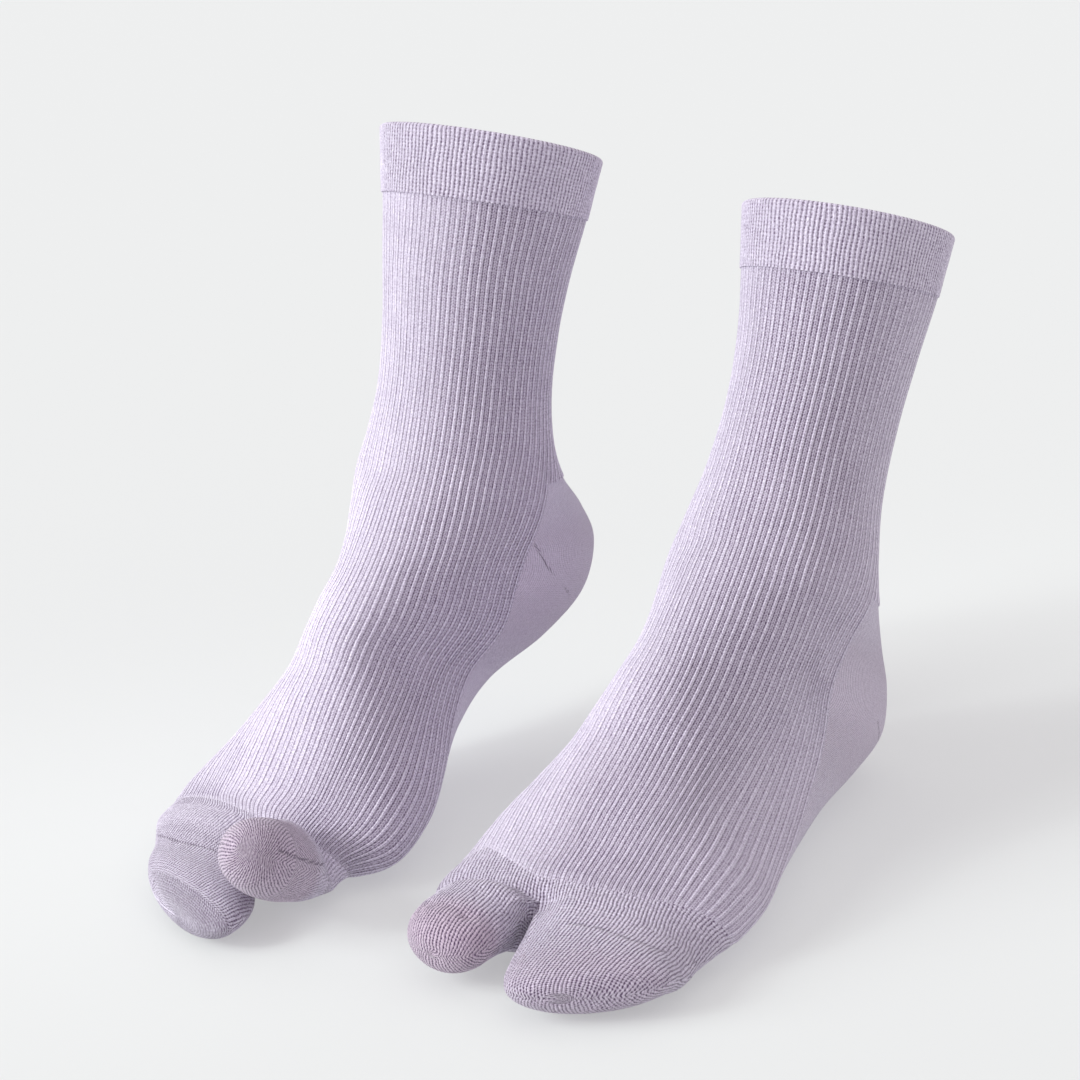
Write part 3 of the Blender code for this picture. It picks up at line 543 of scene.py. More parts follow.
# turned cuff: a doubled band, proud of the leg, with a half round fold on top. Outer skin = leg surface
# + normal * (proud + folds + swell + rise * cos(2 pi * rib) / 2); the inner skin lies one hem further in
def makeCuff(sock, material):
    # drift and swell: how far ribs sway, in ribs, and how far the band bulges, in mm, each over how many mm
    # and ribs; driftSide: ribs from the side line where the sway is full; foldAt: mm down the band where
    # the folds are read
    cuffWork = {"ribs": 144, "perRib": 4, "rowStep": 4, "foldRows": 8, "bandRows": 32,
                "proud": 0.9, "hem": 2.6, "gap": 0.15, "rise": 0.34, "drift": 0.22, "driftOver": (6, 3),
                "driftSide": 2, "swell": 0.18, "swellOver": (9, 9), "foldAt": 12}
    columns = cuffWork["ribs"] * cuffWork["perRib"]
    ribs = np.linspace(0, allRibs, columns + 1)
    grid = knitGrid(sock, np.array([-0.02, 0, 1, 1.02]), ribs)
    grid[:, -1] = grid[:, 0]
    normal = ringNormals(grid)[1:3]
    top, low = grid[1], grid[2]
    span = np.linalg.norm(low - top, axis=1, keepdims=True)
    down = (low - top) / span
    r = cuffWork["hem"] / 2
    q = np.radians(np.linspace(90, 0, cuffWork["foldRows"] + 1))[:-1]
    t = np.linspace(0, 1, cuffWork["bandRows"] + 1)
    # distance down the band and distance out from the leg's surface, a pair per row
    deep = np.concatenate([(r - r * np.sin(q))[:, None] + 0 * span.T,
                           r + (span.T - cuffWork["gap"] - r) * t[:, None]])
    fold = np.concatenate([r * np.cos(q), np.full(len(t), r)])[:, None]
    count = np.arange(columns + 1) / cuffWork["perRib"]
    overLength, overRibs = cuffWork["driftOver"]
    seed = 2.0 if sock["mirrored"] else 5.0
    drift = cuffWork["drift"] * wander(deep / overLength, count / overRibs, seed)
    drift *= smoothStep(0, cuffWork["driftSide"], np.minimum(count, cuffWork["ribs"] - count))
    ridge = 0.5 + 0.5 * np.cos(2 * math.pi * (count + drift))
    overLength, overRibs = cuffWork["swellOver"]
    swell = cuffWork["swell"] * wander(deep / overLength, count / overRibs, 1.0)
    swell = swell * np.sin(math.pi * np.clip(deep / span.T, 0, 1))
    bend = foldDepth(top + down * cuffWork["foldAt"], sock["folds"])

    # points `deep` mm down the band and `out` mm out from the leg, with normals mixed from its two edges
    def placed(out, deep):
        share = (deep / span.T)[..., None]
        return top + down * deep[..., None] + (normal[0] * (1 - share) + normal[1] * share) * out[..., None]
    outer = placed(cuffWork["proud"] - r + fold + bend + swell + cuffWork["rise"] * (ridge - 0.5), deep)
    inner = placed(cuffWork["proud"] - r - fold + bend, deep)
    outer[0] = placed(cuffWork["proud"] - r + 0 * deep[:1] + bend, deep[:1])[0]
    outer[:, -1], inner[:, -1] = outer[:, 0], inner[:, 0]
    inner[0] = outer[0]
    step, column = cuffWork["rowStep"], cuffWork["perRib"]
    keep = np.ones((len(deep) // step, cuffWork["ribs"]), bool)
    length = np.concatenate([r * (math.pi / 2 - q), math.pi / 2 * r + (span.mean() - r) * t])
    uv = np.stack([count + drift, length[:, None] + 0 * count], -1)
    patch = {"outer": outer, "inner": inner[::step, ::column], "keep": keep, "steps": (step, column),
             "uv": uv, "joined": "sides"}
    return makeShell(sock["hand"] + "_cuff_knit", [patch], sock, material)


# curve through stations (station, column, point) at the lengths `marks`, read at `at`: cubic Hermite,
# p = h00 p0 + h10 m0 + h01 p1 + h11 m1, with slopes by central differences for uneven spacing
def throughStations(stations, marks, at):
    slope = np.gradient(stations, marks, axis=0)
    i = np.clip(np.searchsorted(marks, at, side="right") - 1, 0, len(marks) - 2)
    width = (marks[i + 1] - marks[i])[:, None, None]
    t = ((at - marks[i]) / (marks[i + 1] - marks[i]))[:, None, None]
    return ((2 * t ** 3 - 3 * t ** 2 + 1) * stations[i] + (t ** 3 - 2 * t ** 2 + t) * width * slope[i]
            + (3 * t ** 2 - 2 * t ** 3) * stations[i + 1] + (t ** 3 - t ** 2) * width * slope[i + 1])


# wale numbers on closed rings of skin: arc length from where the ring's top crosses x = `middle`, folded
# back at the side lines, so that wales run straight along the top. `sides` are the side lines' columns, or
# None for a quarter of the way round from the `crown` column to either side
def waleNumbers(rings, sides, middle, wale, crown):
    arcs = runLength(rings, 1)
    whole = np.maximum(arcs[:, -1:], 1e-6)
    # arc length that is 0 at the crown and runs from -whole/2 to whole/2
    signed = (arcs - arcs[:, crown:crown + 1] + whole / 2) % whole - whole / 2
    if sides is None:
        low, high = -whole / 4, whole / 4
    else:
        low, high = signed[:, sides[:1]], signed[:, sides[1:]]
    order = np.argsort(signed, axis=1)
    crossing = []
    for ring, s, o, a, b in zip(rings, signed, order, low[:, 0], high[:, 0]):
        onTop = o[(s[o] >= a) & (s[o] <= b)]
        crossing.append(np.interp(middle, ring[onTop, 0], s[onTop]) if len(onTop) > 1 else 0.0)
    crossing = np.array(crossing)[:, None]
    folded = np.where(signed > high, 2 * high - signed, np.where(signed < low, 2 * low - signed, signed))
    return (folded - crossing + middle) / wale


# a pocket's rings from the loop of points it starts at: a ring per row, whose own form goes over into an
# oval by the row's last number, and one point at the tip
def pocketStations(start, rows, tipShare):
    low, high = start.min(axis=0), start.max(axis=0)
    own = (start - (high + low) / 2) / ((high - low) / 2)
    angle = np.arctan2(own[:, 2], own[:, 0])
    stations = [start]
    for x, y, z, halfW, up, under, yaw, pitch, roundness in rows:
        yaw, pitch = math.radians(yaw), math.radians(pitch)
        side = np.array([math.cos(yaw), math.sin(yaw), 0])
        level = math.cos(pitch)
        ahead = np.array([math.sin(yaw) * level, -math.cos(yaw) * level, math.sin(pitch)])
        upward = np.cross(ahead, side)
        px = (own[:, 0] * (1 - roundness) + np.cos(angle) * roundness) * halfW
        pz = own[:, 2] * (1 - roundness) + np.sin(angle) * roundness
        pz = pz * np.where(angle > 0, up, under)
        stations.append(np.array([x, y, z]) + px[:, None] * side + pz[:, None] * upward)
    tip = np.array([x, y, z]) + ahead * up * tipShare
    stations.append(np.tile(tip, (len(start), 1)))
    return stations, ahead


# toe cap: rings from the toe line to the split, then a pocket for the big toe and one for the other toes,
# which share the web between them. Wales lie at equal distances from each pocket's top middle line, and
# stand up as low ridges: rise * cos(2 pi * wale number)
def makeToe(sock, material):
    # ridgeFrom and ridgeTo: mm from the toe line and from a tip where the ridges are full; join: mm past
    # the split over which wales find their own middle line; open: mm past it over which the slits' holes
    # and painted shade go from the ring's to the pocket's
    toeWork = {"fine": 18, "columns": (30, 18), "web": 6, "rowStep": 4, "ringRows": 16, "pocketRows": 48,
               "bulge": 3.0, "tip": 0.22, "wale": 1.22, "ridge": 0.08, "ridgeFrom": 0.8, "ridgeTo": 2.5,
               "join": 7.0, "open": (12, 24)}
    nTop, nBack = toeWork["columns"]
    fine, wall = toeWork["fine"], knit["wall"]
    ribs = np.concatenate([np.linspace(0, knit["instepRibs"], nTop * fine + 1),
                           np.linspace(knit["instepRibs"], allRibs, nBack * fine + 1)[1:]])
    toeLine, split = sectionAt["toeLine"], sectionAt["split"]
    dense = np.linspace(14.9, 17.1, 67)
    grid = skinGrid(sock, dense, ribs)
    normal = ringNormals(grid)
    begin = toeLine + toeLineShift(sock, ribs)
    at = begin + (split - begin) * np.linspace(0, 1, toeWork["ringRows"] + 1)[:, None]
    ringUpper, ringNormal = atSections(grid, dense, at), atSections(normal, dense, at)
    ringNormal /= np.linalg.norm(ringNormal, axis=2, keepdims=True)
    last = ringUpper[-1]
    coarse = last[:-1:fine]
    topAt = int(np.argmin(np.abs(coarse[:nTop + 1, 0] - sock["splitX"]))) * fine
    lowAt = (nTop + int(np.argmin(np.abs(coarse[nTop:, 0] - sock["splitX"])))) * fine
    q = np.linspace(0, 1, toeWork["web"] * fine + 1)[:, None]
    web = last[topAt] * (1 - q) + last[lowAt] * q - np.array([0, toeWork["bulge"], 0]) * np.sin(math.pi * q)
    web[0], web[-1] = last[topAt], last[lowAt]
    before = atSections(grid, dense, (toeLine + split) / 2 + 0 * at[:1])[0]
    n = len(last) - 1
    # the pockets' loops: start column numbers on the last ring, and the web run after them
    bigLoop = np.concatenate([np.arange(lowAt, n), np.arange(0, topAt + 1)])
    mittenLoop = np.arange(topAt, lowAt + 1)
    sideLines = np.array([0, nTop * fine])
    # on the rings, wales run straight on from the ribs: every row counts as the last one does
    ringWale = waleNumbers(ringUpper[-1:], sideLines, 0.0, toeWork["wale"], nTop * fine // 2)
    ringWale = np.tile(ringWale, (len(ringUpper), 1))
    ringV = runLength(ringUpper[:, nTop * fine // 2])
    # mm along each column, counted back from the split, so that courses are equally tall all round
    runs = runLength(ringUpper)
    ringAlong = ringV[-1] + runs - runs[-1:]
    ridge = toeWork["ridge"] * np.cos(2 * math.pi * ringWale)
    ridge = ridge * smoothStep(0, toeWork["ridgeFrom"], ringV)[:, None]
    bend = foldDepth(ringUpper, sock["folds"])
    ringOuter, ringInner = bothSkins(ringUpper, ringNormal, ridge, bend)
    ringOuter[:, -1], ringInner[:, -1] = ringOuter[:, 0], ringInner[:, 0]
    step = toeWork["rowStep"]
    patches = [{"outer": ringOuter, "inner": ringInner[::step, ::fine], "steps": (step, fine),
                "keep": np.ones((toeWork["ringRows"] // step, nTop + nBack), bool),
                "joined": "sides bottom", "uv": np.stack([ringWale, ringAlong], -1),
                "rise": sock["ringHoles"] + 0 * ringWale,
                "seam": linesDistance(ringUpper, sock["toeSeams"])}]
    for key, loop, backwards in (("bigToe", bigLoop, False), ("mitten", mittenLoop, True)):
        webPart = web[::-1] if backwards else web
        webPart = webPart[1:-1]
        start = np.concatenate([last[loop], webPart])
        stations, ahead = pocketStations(start, sock[key], toeWork["tip"])
        # one station before the split gives the slope there; on the web it mirrors the first pocket ring
        earlier = np.concatenate([before[loop], 2 * webPart - stations[1][len(loop):]])
        stations = np.array([earlier, *stations])
        gaps = np.linalg.norm(np.diff(stations, axis=0), axis=2).mean(axis=1)
        marks = np.concatenate([[0], np.cumsum(gaps)])
        want = np.linspace(marks[1], marks[-1], toeWork["pocketRows"] + 1)
        pocket = throughStations(stations, marks, want)
        pocket[0] = start
        pocket = np.concatenate([pocket, pocket[:, :1]], axis=1)
        normal = ringNormals(pocket)
        normal[-1] = ahead
        crown = int(np.argmax(pocket[toeWork["pocketRows"] // 2, :, 2]))
        middle = pocket[0, :, 0].mean()
        wale = waleNumbers(pocket, None, middle, toeWork["wale"], crown)
        onRing = np.concatenate([ringWale[-1, loop], wale[0, len(loop):]])
        join = smoothStep(0, toeWork["join"], want - want[0])[:, None]
        wale = onRing * (1 - join) + wale * join
        along = ringV[-1] + want - marks[1]
        fade = smoothStep(0, toeWork["ridgeTo"], want[-1] - want)
        ridge = toeWork["ridge"] * np.cos(2 * math.pi * wale) * fade[:, None]
        outer, inner = bothSkins(pocket, normal, ridge, foldDepth(pocket, sock["folds"]))
        inner[-1] = pocket[-1] - ahead * wall
        outer[-1] = pocket[-1]
        outer[0, :len(loop)] = ringOuter[-1, loop]
        outer[0, len(loop):-1] = webPart
        outer[0, -1] = outer[0, 0]
        inner[0, :len(loop)] = ringInner[-1, loop]
        inner[0, len(loop):-1] = webPart + np.array([0, wall, 0])
        inner[0, -1] = inner[0, 0]
        outer[:, -1], inner[:, -1] = outer[:, 0], inner[:, 0]
        uv = np.stack([wale, along[:, None] + 0 * wale], -1)
        # how far the slits break into holes and how deep their painted shade is, from the ring's to the
        # pocket's
        gapShadeShare = smoothStep(*toeWork["open"], want - marks[1])[:, None] + 0 * wale
        holes = sock["ringHoles"] + (sock[key + "Holes"] - sock["ringHoles"]) * gapShadeShare
        start, full, strength = sock[key + "Tint"]
        tint = strength * smoothStep(start, full, want - marks[1])[:, None] + 0 * wale
        columns = (pocket.shape[1] - 1) // fine
        seam = linesDistance(pocket, sock["toeSeams"])
        patches.append({"outer": outer, "inner": inner[::step, ::fine], "steps": (step, fine), "uv": uv,
                        "keep": np.ones((toeWork["pocketRows"] // step, columns), bool),
                        "joined": "sides top bottom", "tint": tint, "rise": holes, "seam": seam})
    return makeShell(sock["hand"] + "_toe_knit", patches, sock, material)


# small writer for node trees: one call per node, sockets wired or set
class Wiring:
    def __init__(self, tree):
        self.tree = tree

    def put(self, kind, sockets=(), **settings):
        node = self.tree.nodes.new(kind)
        for key, value in settings.items():
            setattr(node, key, value)
        for key, value in dict(sockets).items():
            if isinstance(value, bpy.types.NodeSocket):
                self.tree.links.new(value, node.inputs[key])
            else:
                node.inputs[key].default_value = value
        return node

    def math(self, operation, a, b=0.0, c=0.0):
        return self.put("ShaderNodeMath", {0: a, 1: b, 2: c}, operation=operation).outputs[0]

    def times(self, a, b):
        return self.math("MULTIPLY", a, b)

    # a * b + c
    def timesPlus(self, a, b, c):
        return self.math("MULTIPLY_ADD", a, b, c)

    def larger(self, a, b):
        return self.math("MAXIMUM", a, b)

    # cos(2 pi a)
    def wave(self, a):
        return self.math("COSINE", self.times(a, 2 * math.pi))

    # 0 where value is below low, 1 above high, soft between
    def ramp(self, value, low, high, toLow=0.0, toHigh=1.0):
        sockets = {0: value, 1: low, 2: high, 3: toLow, 4: toHigh}
        node = self.put("ShaderNodeMapRange", sockets, interpolation_type="SMOOTHSTEP")
        return node.outputs[0]

    def mixColour(self, factor, a, b):
        return self.put("ShaderNodeMix", {0: factor, 6: a, 7: b}, data_type="RGBA").outputs[2]

    # leads named values to the outputs of a group
    def giveOut(self, out, values):
        for key, value in values.items():
            self.tree.links.new(value, out[key])
        return self.tree


# a node group with named number inputs (with their usual values) and outputs
def newGroup(name, inputs, outputs):
    tree = bpy.data.node_groups.new(name, "ShaderNodeTree")
    for key, value in inputs.items():
        tree.interface.new_socket(key, in_out="INPUT", socket_type="NodeSocketFloat").default_value = value
    for key, kind in outputs.items():
        tree.interface.new_socket(key, in_out="OUTPUT", socket_type="NodeSocket" + kind)
    entry, leave = tree.nodes.new("NodeGroupInput"), tree.nodes.new("NodeGroupOutput")
    return Wiring(tree), entry.outputs, leave.inputs


# one needle column of V-shaped stitches: across runs -0.5 to 0.5 over the column, along counts courses. Two
# legs at +-0.25, each a parabola across; along them cos(2 pi (along + slant |across|)) parts the stitches
def stitchGroup():
    w, into, out = newGroup("stitchLegs", {"across": 0.0, "along": 0.0, "slant": 1.2}, {"height": "Float"})
    off = w.math("ABSOLUTE", into["across"])
    fromLeg = w.times(w.math("SUBTRACT", off, 0.25), 4.0)
    leg = w.larger(w.math("SUBTRACT", 1.0, w.times(fromLeg, fromLeg)), 0.0)
    part = w.timesPlus(w.wave(w.timesPlus(off, into["slant"], into["along"])), 0.5, 0.5)
    shaped = w.timesPlus(w.math("POWER", part, 0.6), 0.65, 0.35)
    return w.giveOut(out, {"height": w.times(w.math("POWER", leg, 0.5), shaped)})


# rib knit, in shares of a rib's width: how wide a needle column is, where raised and sunk wales end, and
# the width of the groove between them; then how deep the painted shade in the groove and in the gaps on
# either wale is, at most 1
ribLook = {
    "wale": 0.42, "raised": (0.21, 0.13), "sunk": (0.28, 0.36), "groove": (0.115, 0.03),
    "grooveShade": (-0.2, 0.66), "raisedShade": 0.5, "sunkShade": 0.78,
}


# rib knit: u counts ribs, v is mm along them. A raised wale round phase 0.5, a sunk purl wale round 0, and
# a groove painted with shade at 0.25 and 0.75 between the two. height 0 to 1; gap, the mask of painted
# shade, 1 in grooves and between stitches, and sunk, the mask of painted shade on the sunk wale, both times
# `rise`, their depth
def ribGroup(stitches):
    w, into, out = newGroup("ribLoops", {"u": 0.0, "v": 0.0, "course": 1.05, "rise": 1.0},
                            {"height": "Float", "gap": "Float", "sunk": "Float"})
    along = w.math("DIVIDE", into["v"], into["course"])

    # the stitches of one wale and how far a point lies from its middle
    def waleColumn(u, along, slant):
        fromMiddle = w.math("SUBTRACT", w.math("FRACT", u), 0.5)
        sockets = {"across": w.math("DIVIDE", fromMiddle, ribLook["wale"]), "along": along, "slant": slant}
        return w.put("ShaderNodeGroup", sockets, node_tree=stitches).outputs[0], fromMiddle
    raised, fromCrown = waleColumn(into["u"], along, 1.3)
    sunk, _ = waleColumn(w.math("ADD", into["u"], 0.5), w.math("ADD", along, 0.5), -1.5)
    off = w.math("ABSOLUTE", fromCrown)
    onRaised, onSunk = w.ramp(off, *ribLook["raised"]), w.ramp(off, *ribLook["sunk"])
    height = w.times(onRaised, w.timesPlus(raised, 0.5, 0.5))
    height = w.timesPlus(w.timesPlus(sunk, 0.45, 0.3), onSunk, height)
    # painted shade: in the groove, and between the stitches of the raised and of the sunk wale
    line = w.ramp(w.math("ABSOLUTE", w.math("SUBTRACT", off, 0.25)), *ribLook["groove"])
    groove = w.times(line, w.timesPlus(w.wave(along), *ribLook["grooveShade"]))
    onTop = w.times(w.times(w.ramp(raised, 0.75, 0.1), onRaised), ribLook["raisedShade"])
    below = w.times(w.times(w.ramp(sunk, 0.8, 0.1), onSunk), ribLook["sunkShade"])
    gap = w.larger(groove, w.larger(onTop, below))
    return w.giveOut(out, {"height": height, "gap": w.times(gap, into["rise"]),
                           "sunk": w.times(onSunk, into["rise"])})


# plain knit: u counts wales, v is mm along them; gap, the mask of painted shade, is 1 in the slits between
# wales, which break up into rows of holes where `holes` is 1, and up to 0.4 between the stitches
def plainGroup(stitches):
    w, into, out = newGroup("plainLoops", {"u": 0.0, "v": 0.0, "course": 1.05, "slit": 0.16, "holes": 0.3},
                            {"height": "Float", "gap": "Float"})
    across = w.math("SUBTRACT", w.math("FRACT", w.math("ADD", into["u"], 0.5)), 0.5)
    along = w.math("DIVIDE", into["v"], into["course"])
    sockets = {"across": across, "along": along, "slant": 1.1}
    legs = w.put("ShaderNodeGroup", sockets, node_tree=stitches).outputs[0]
    fromSlit = w.math("SUBTRACT", 0.5, w.math("ABSOLUTE", across))
    slit = w.math("SUBTRACT", 1.0, w.ramp(w.math("DIVIDE", fromSlit, into["slit"]), 0.25, 1.0))
    dots = w.ramp(w.wave(along), -0.5, 0.5, 1.0, 0.0)
    broken = w.math("ADD", 1.0, w.times(w.math("SUBTRACT", dots, 1.0), into["holes"]))
    # painted shade in the slits and between the stitches
    gap = w.larger(w.times(slit, broken), w.times(w.ramp(legs, 0.7, 0.1), 0.4))
    crown = w.timesPlus(w.wave(across), 0.3, 0.3)
    return w.giveOut(out, {"height": w.timesPlus(legs, 0.4, crown), "gap": gap})


# yarn: slow mottling, a speckle as fine as a stitch, a fine fibre height and the loops' sway, all from
# Object coordinates
def yarnGroup():
    w, into, out = newGroup("yarn", {"slow": 45.0, "stitch": 1300.0},
                            {"tone": "Float", "speckle": "Float", "fibre": "Float", "sway": "Float"})
    where = w.put("ShaderNodeTexCoord").outputs["Object"]

    def noise(scale, detail, roughness):
        sockets = {"Vector": where, "Scale": scale, "Detail": detail, "Roughness": roughness}
        return w.put("ShaderNodeTexNoise", sockets).outputs["Fac"]
    quick, fibre = noise(into["stitch"], 2.0, 0.8), noise(3200.0, 2.0, 0.8)
    return w.giveOut(out, {"tone": noise(into["slow"], 3.0, 0.5), "speckle": quick,
                           "fibre": w.timesPlus(quick, 0.6, w.times(fibre, 0.6)),
                           "sway": w.math("SUBTRACT", noise(420.0, 2.0, 0.6), 0.5)})


knitColour = {
    "light": (0.83, 0.775, 0.915, 1),   # lavender yarn
    "dark": (0.56, 0.49, 0.64, 1),      # the same yarn in its deeper specks
    # painted shade in the gaps between stitches and in the grooves; the dark seam dots take it too
    "gap": (0.085, 0.04, 0.11, 1),      # between the stitches
    # painted shade on the sunk purl wales, which lie recessed between the ribs
    "sunk": (0.50, 0.44, 0.56, 1),      # purl wales between the ribs
    "heel": (0.60, 0.51, 0.64, 1),      # deeper yarn of the heel
    "toe": (0.62, 0.45, 0.57, 1),       # pinker yarn at the toe tips
}
# what each knit looks like: stitch group, depth of the painted shade in its gaps, bump depth and course
# height in mm, how far loops sway in wales, slit width in wales, how far the slits break up into holes, and
# the other yarn that
# `tint` brings in, with its share
knitLooks = {
    "rib": {"kind": "rib", "gaps": 0.96, "bump": 0.42, "course": 1.05, "sway": 0.09, "other": ("toe", 0.6)},
    "heel": {"kind": "plain", "gaps": 0.50, "bump": 0.35, "course": 1.05, "sway": 0.8, "slit": 0.30,
             "holes": 0.5, "other": ("heel", 0.55)},
    "toe": {"kind": "plain", "gaps": 1.0, "bump": 0.46, "course": 1.05, "sway": 1.0, "slit": 0.38,
            "holes": 0.5, "other": ("toe", 0.6)},
    "cuff": {"kind": "plain", "gaps": 0.74, "bump": 0.42, "course": 1.15, "sway": 0.45, "slit": 0.36,
             "holes": 0.42, "other": ("toe", 0.6)},
}
# the yarn's finish, the same on every knit
yarnFinish = {"Roughness": 0.92, "Sheen Weight": 0.6, "Sheen Roughness": 0.5,
              "Sheen Tint": (0.93, 0.90, 0.97, 1), "Specular IOR Level": 0.2}
# what all knits share: how far loops sway along a wale, in mm; the speckle's range; the depth of the
# painted shade in the gaps, changed by speckle and whole; how that painted shade on the toe grows with
# `rise`; seam stitches per wale and mm per stitch, their half width in mm, the range that makes dots, their
# darkness and depth; light yarn by speckle and by tone; the share of painted shade on sunk wales, and of
# fibre in the height
knitWork = {
    "swayAlong": 1.4, "speckle": (0.36, 0.64), "gaps": (-0.5, 1.25), "toeGapShade": (0.45, 0.95),
    "seamCount": (0.8, 2.4), "seamWidth": (0.85, 0.35), "seamDots": (-0.4, 0.3), "seamDark": 0.85,
    "seamDepth": 0.8, "lightSpeckle": 0.75, "lightTone": 0.35, "sunkShadeShare": 0.45, "fibre": 0.5,
}


# one knit material: the stitches follow the knit UV map, u across and v along. Corner attributes of the
# mesh: `rise` sets how deep the painted shade in the gaps and sunk wales is (on the toe it also breaks the
# slits into holes), `tint` where the other yarn is, `seam` the mm to the nearest seam
def knitMaterial(name, groups):
    look = knitLooks[name]
    material = bpy.data.materials.new(name + "_knit_cotton")
    material.use_nodes = True
    material.node_tree.nodes.clear()
    w = Wiring(material.node_tree)
    uv = w.put("ShaderNodeUVMap", uv_map="knit")
    split = w.put("ShaderNodeSeparateXYZ", {0: uv.outputs[0]})
    rise, tint, seam = (w.put("ShaderNodeAttribute", attribute_name=key).outputs["Fac"]
                        for key in ("rise", "tint", "seam"))
    yarn = w.put("ShaderNodeGroup", {}, node_tree=groups["yarn"]).outputs
    # loops sway a little to either side and along, no two alike
    across, along, _ = split.outputs
    sockets = {"u": w.timesPlus(yarn["sway"], look["sway"], across),
               "v": w.timesPlus(yarn["sway"], knitWork["swayAlong"], along), "course": look["course"]}
    if look["kind"] == "rib":
        # rise: how deep the painted shade in the rib gaps and sunk wales is
        sockets["rise"] = rise
    else:
        sockets["slit"] = look["slit"]
        sockets["holes"] = w.larger(rise, look["holes"]) if name == "toe" else look["holes"]
    loops = w.put("ShaderNodeGroup", sockets, node_tree=groups[look["kind"]]).outputs
    # the painted shade in the gaps is a little deeper or lighter from place to place
    speckle = w.ramp(yarn["speckle"], *knitWork["speckle"])
    bySpeckle, whole = knitWork["gaps"]
    gap = w.times(loops["gap"], w.timesPlus(speckle, bySpeckle * look["gaps"], whole * look["gaps"]))
    # on the toe the painted shade in the gaps grows with `rise`
    if name == "toe":
        gap = w.times(gap, w.timesPlus(rise, *knitWork["toeGapShade"]))
    # a line of dark stitch holes along a sewn or short-row seam
    perWale, pitch = knitWork["seamCount"]
    count = w.timesPlus(across, perWale, w.math("DIVIDE", along, pitch))
    seamDots = w.times(w.ramp(seam, *knitWork["seamWidth"]), w.ramp(w.wave(count), *knitWork["seamDots"]))
    share = w.timesPlus(speckle, knitWork["lightSpeckle"], w.times(yarn["tone"], knitWork["lightTone"]))
    colour = w.mixColour(share, knitColour["dark"], knitColour["light"])
    # painted shade on the sunk purl wales between the ribs
    if look["kind"] == "rib":
        colour = w.mixColour(w.times(loops["sunk"], knitWork["sunkShadeShare"]), colour, knitColour["sunk"])
    otherYarn, otherShare = look["other"]
    colour = w.mixColour(w.times(tint, otherShare), colour, knitColour[otherYarn])
    # painted shade: the gaps, and the seam's dots, take the gap colour
    dark = w.math("MINIMUM", w.larger(gap, w.times(seamDots, knitWork["seamDark"])), 1.0)
    colour = w.mixColour(dark, colour, knitColour["gap"])
    height = w.timesPlus(yarn["fibre"], knitWork["fibre"], loops["height"])
    height = w.math("SUBTRACT", height, w.times(seamDots, knitWork["seamDepth"]))
    bump = w.put("ShaderNodeBump", {"Height": height, "Strength": 1.0, "Distance": look["bump"] * mm})
    sockets = {"Base Color": colour, "Normal": bump.outputs[0], **yarnFinish}
    shader = w.put("ShaderNodeBsdfPrincipled", sockets)
    w.put("ShaderNodeOutputMaterial", {"Surface": shader.outputs[0]})
    return material


stitches = stitchGroup()
groups = {"rib": ribGroup(stitches), "plain": plainGroup(stitches), "yarn": yarnGroup()}
ribKnit, heelKnit = knitMaterial("rib", groups), knitMaterial("heel", groups)
toeKnit, cuffKnit = knitMaterial("toe", groups), knitMaterial("cuff", groups)
print("materials built")

for sock in (leftSock, rightSock):
    hand = sock["hand"]
    for make, node, material in ((makeCuff, "cuff", cuffKnit), (makeLeg, "leg", ribKnit),
                                 (makeHeelSole, "heel_sole", heelKnit), (makeToe, "toe", toeKnit)):
        piece = make(sock, material)
        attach(piece, "root")
        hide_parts(hand + "_" + node)
        area = sum(face.area for face in piece.data.polygons)
        print(piece.name, "faces", len(piece.data.polygons), "area", round(area, 5))
print("socks knitted")

# a pale floor that runs out of sight, under the soles
floorFinish = {"Base Color": (0.45, 0.465, 0.465, 1), "Emission Color": (1, 1, 1, 1),
               "Emission Strength": 0.345, "Roughness": 0.9, "Specular IOR Level": 0.1}
floorMesh = bpy.data.meshes.new("floor")
low = cadBox[0][2] - 0.0002
floorMesh.from_pydata([(-14, -8, low), (14, -8, low), (14, 20, low), (-14, 20, low)], [], [(0, 1, 2, 3)])
floor = bpy.data.objects.new("floor", floorMesh)
bpy.context.scene.collection.objects.link(floor)
floorPaint = bpy.data.materials.new("floor_paper")
floorPaint.use_nodes = True
floorShader = floorPaint.node_tree.nodes["Principled BSDF"]
for key, value in floorFinish.items():
    floorShader.inputs[key].default_value = value
floorMesh.materials.append(floorPaint)

# daylight all round, and two lamps from the left, above and in front
bpy.context.scene.view_settings.view_transform = "Standard"
world = bpy.data.worlds.new("studio")
bpy.context.scene.world = world
world.use_nodes = True
daylight = world.node_tree.nodes["Background"]
daylight.inputs["Color"].default_value = (1.0, 0.955, 0.975, 1)
daylight.inputs["Strength"].default_value = 0.78
# what is seen beyond the floor is a plain backdrop in the floor's own tone
sky = Wiring(world.node_tree)
backdrop = sky.put("ShaderNodeBackground", {"Color": (0.862, 0.876, 0.876, 1), "Strength": 1.0})
seen = sky.put("ShaderNodeLightPath").outputs["Is Camera Ray"]
both = sky.put("ShaderNodeMixShader", {0: seen, 1: daylight.outputs[0], 2: backdrop.outputs[0]})
world.node_tree.links.new(both.outputs[0], world.node_tree.nodes["World Output"].inputs["Surface"])
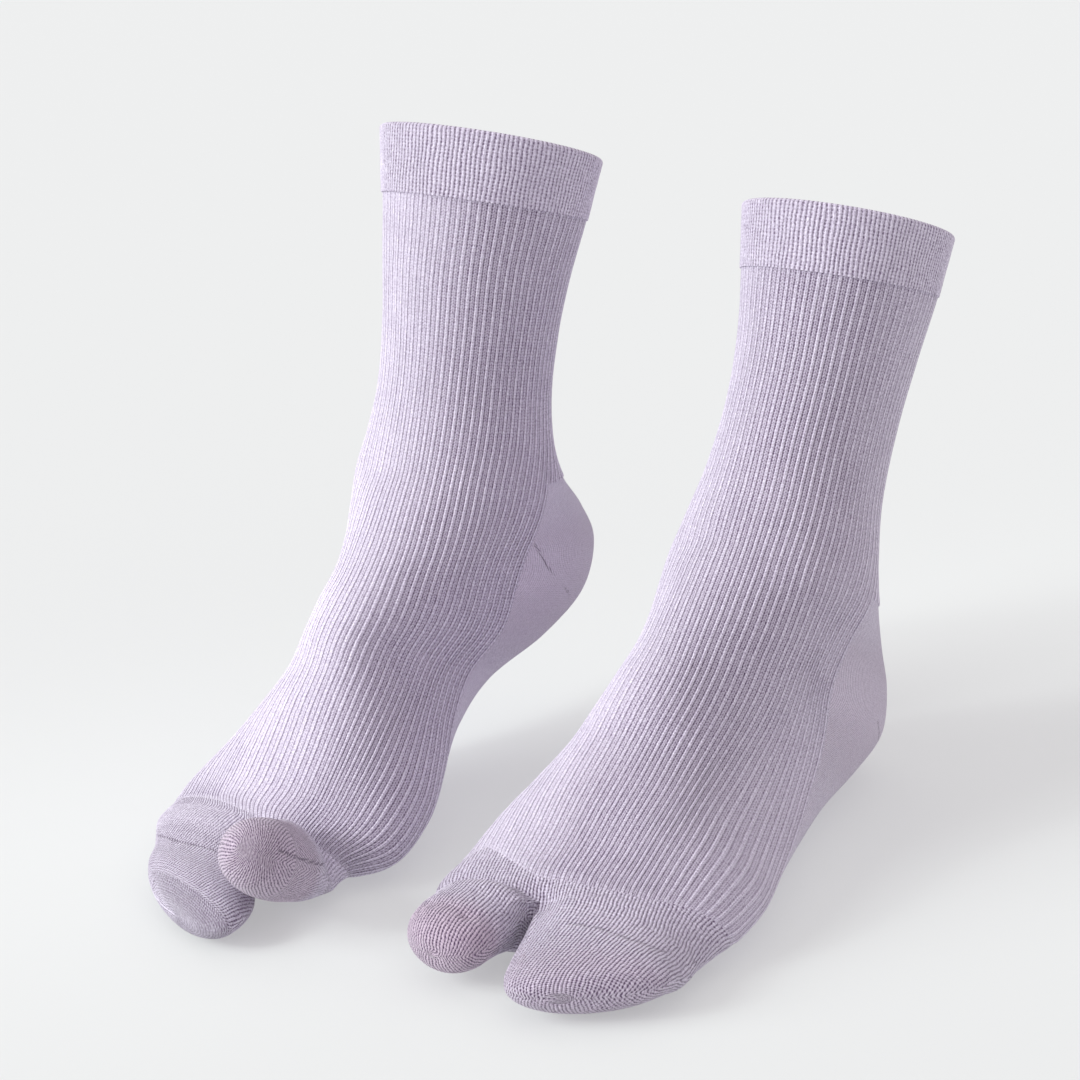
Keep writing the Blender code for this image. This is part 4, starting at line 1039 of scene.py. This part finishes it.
# key: a soft sun on both socks; low: a narrow spot with a soft edge on the raised sock's foot. `from` is
# the way to the lamp, `aim` the point it lights and `away` its distance, in m; `size` is the sun's angle in
# degrees or the spot's radius in m, `cone` the spot's angle in degrees
lamps = {
    "key": {"kind": "SUN", "from": (-0.66, -0.66, 0.44), "aim": (0, 0, 0), "away": 1.0, "size": 38,
            "strength": 2.62, "colour": (0.955, 1.0, 0.965)},
    "low": {"kind": "SPOT", "from": (-0.52, -0.74, 0.42), "aim": (-0.125, -0.15, -0.14), "away": 1.3,
            "size": 0.12, "cone": 16, "strength": 30.0, "colour": (0.955, 1.0, 0.965)},
}
for name, lamp in lamps.items():
    light = bpy.data.lights.new(name, lamp["kind"])
    light.color = lamp["colour"]
    light.energy = lamp["strength"]
    if lamp["kind"] == "SUN":
        light.angle = math.radians(lamp["size"])
    else:
        light.shadow_soft_size = lamp["size"]
        light.spot_size = math.radians(lamp["cone"])
        light.spot_blend = 1.0
    holder = bpy.data.objects.new(name, light)
    holder.location = Vector(lamp["aim"]) + Vector(lamp["from"]).normalized() * lamp["away"]
    holder.rotation_euler = Vector(lamp["from"]).to_track_quat("Z", "Y").to_euler()
    bpy.context.scene.collection.objects.link(holder)

# camera: looks at `target` from azimuth (round +Z, from -Y) and elevation, rolled a little about its axis
cameraWork = {"target": (-69.71, -96.58, -101.19), "azimuth": 30.94, "elevation": 18.05, "roll": -0.67,
              "distance": 935.66, "lens": 90.37}
azimuth, elevation = math.radians(cameraWork["azimuth"]), math.radians(cameraWork["elevation"])
roll = math.radians(cameraWork["roll"])
back = Vector((math.sin(azimuth) * math.cos(elevation), -math.cos(azimuth) * math.cos(elevation),
               math.sin(elevation)))
level = Vector((math.cos(azimuth), math.sin(azimuth), 0))
upward = back.cross(level)
right = level * math.cos(roll) + upward * math.sin(roll)
top = upward * math.cos(roll) - level * math.sin(roll)
place = (Vector(cameraWork["target"]) + back * cameraWork["distance"]) * mm
camera = bpy.data.objects.new("camera", bpy.data.cameras.new("camera"))
camera.data.sensor_width = 36
camera.data.lens = cameraWork["lens"]
camera.data.clip_start = 0.02
camera.data.clip_end = 60
camera.matrix_world = Matrix(((right.x, top.x, back.x, place.x), (right.y, top.y, back.y, place.y),
                              (right.z, top.z, back.z, place.z), (0, 0, 0, 1)))
bpy.context.scene.collection.objects.link(camera)
bpy.context.scene.camera = camera
print("floor, lamps and camera placed")
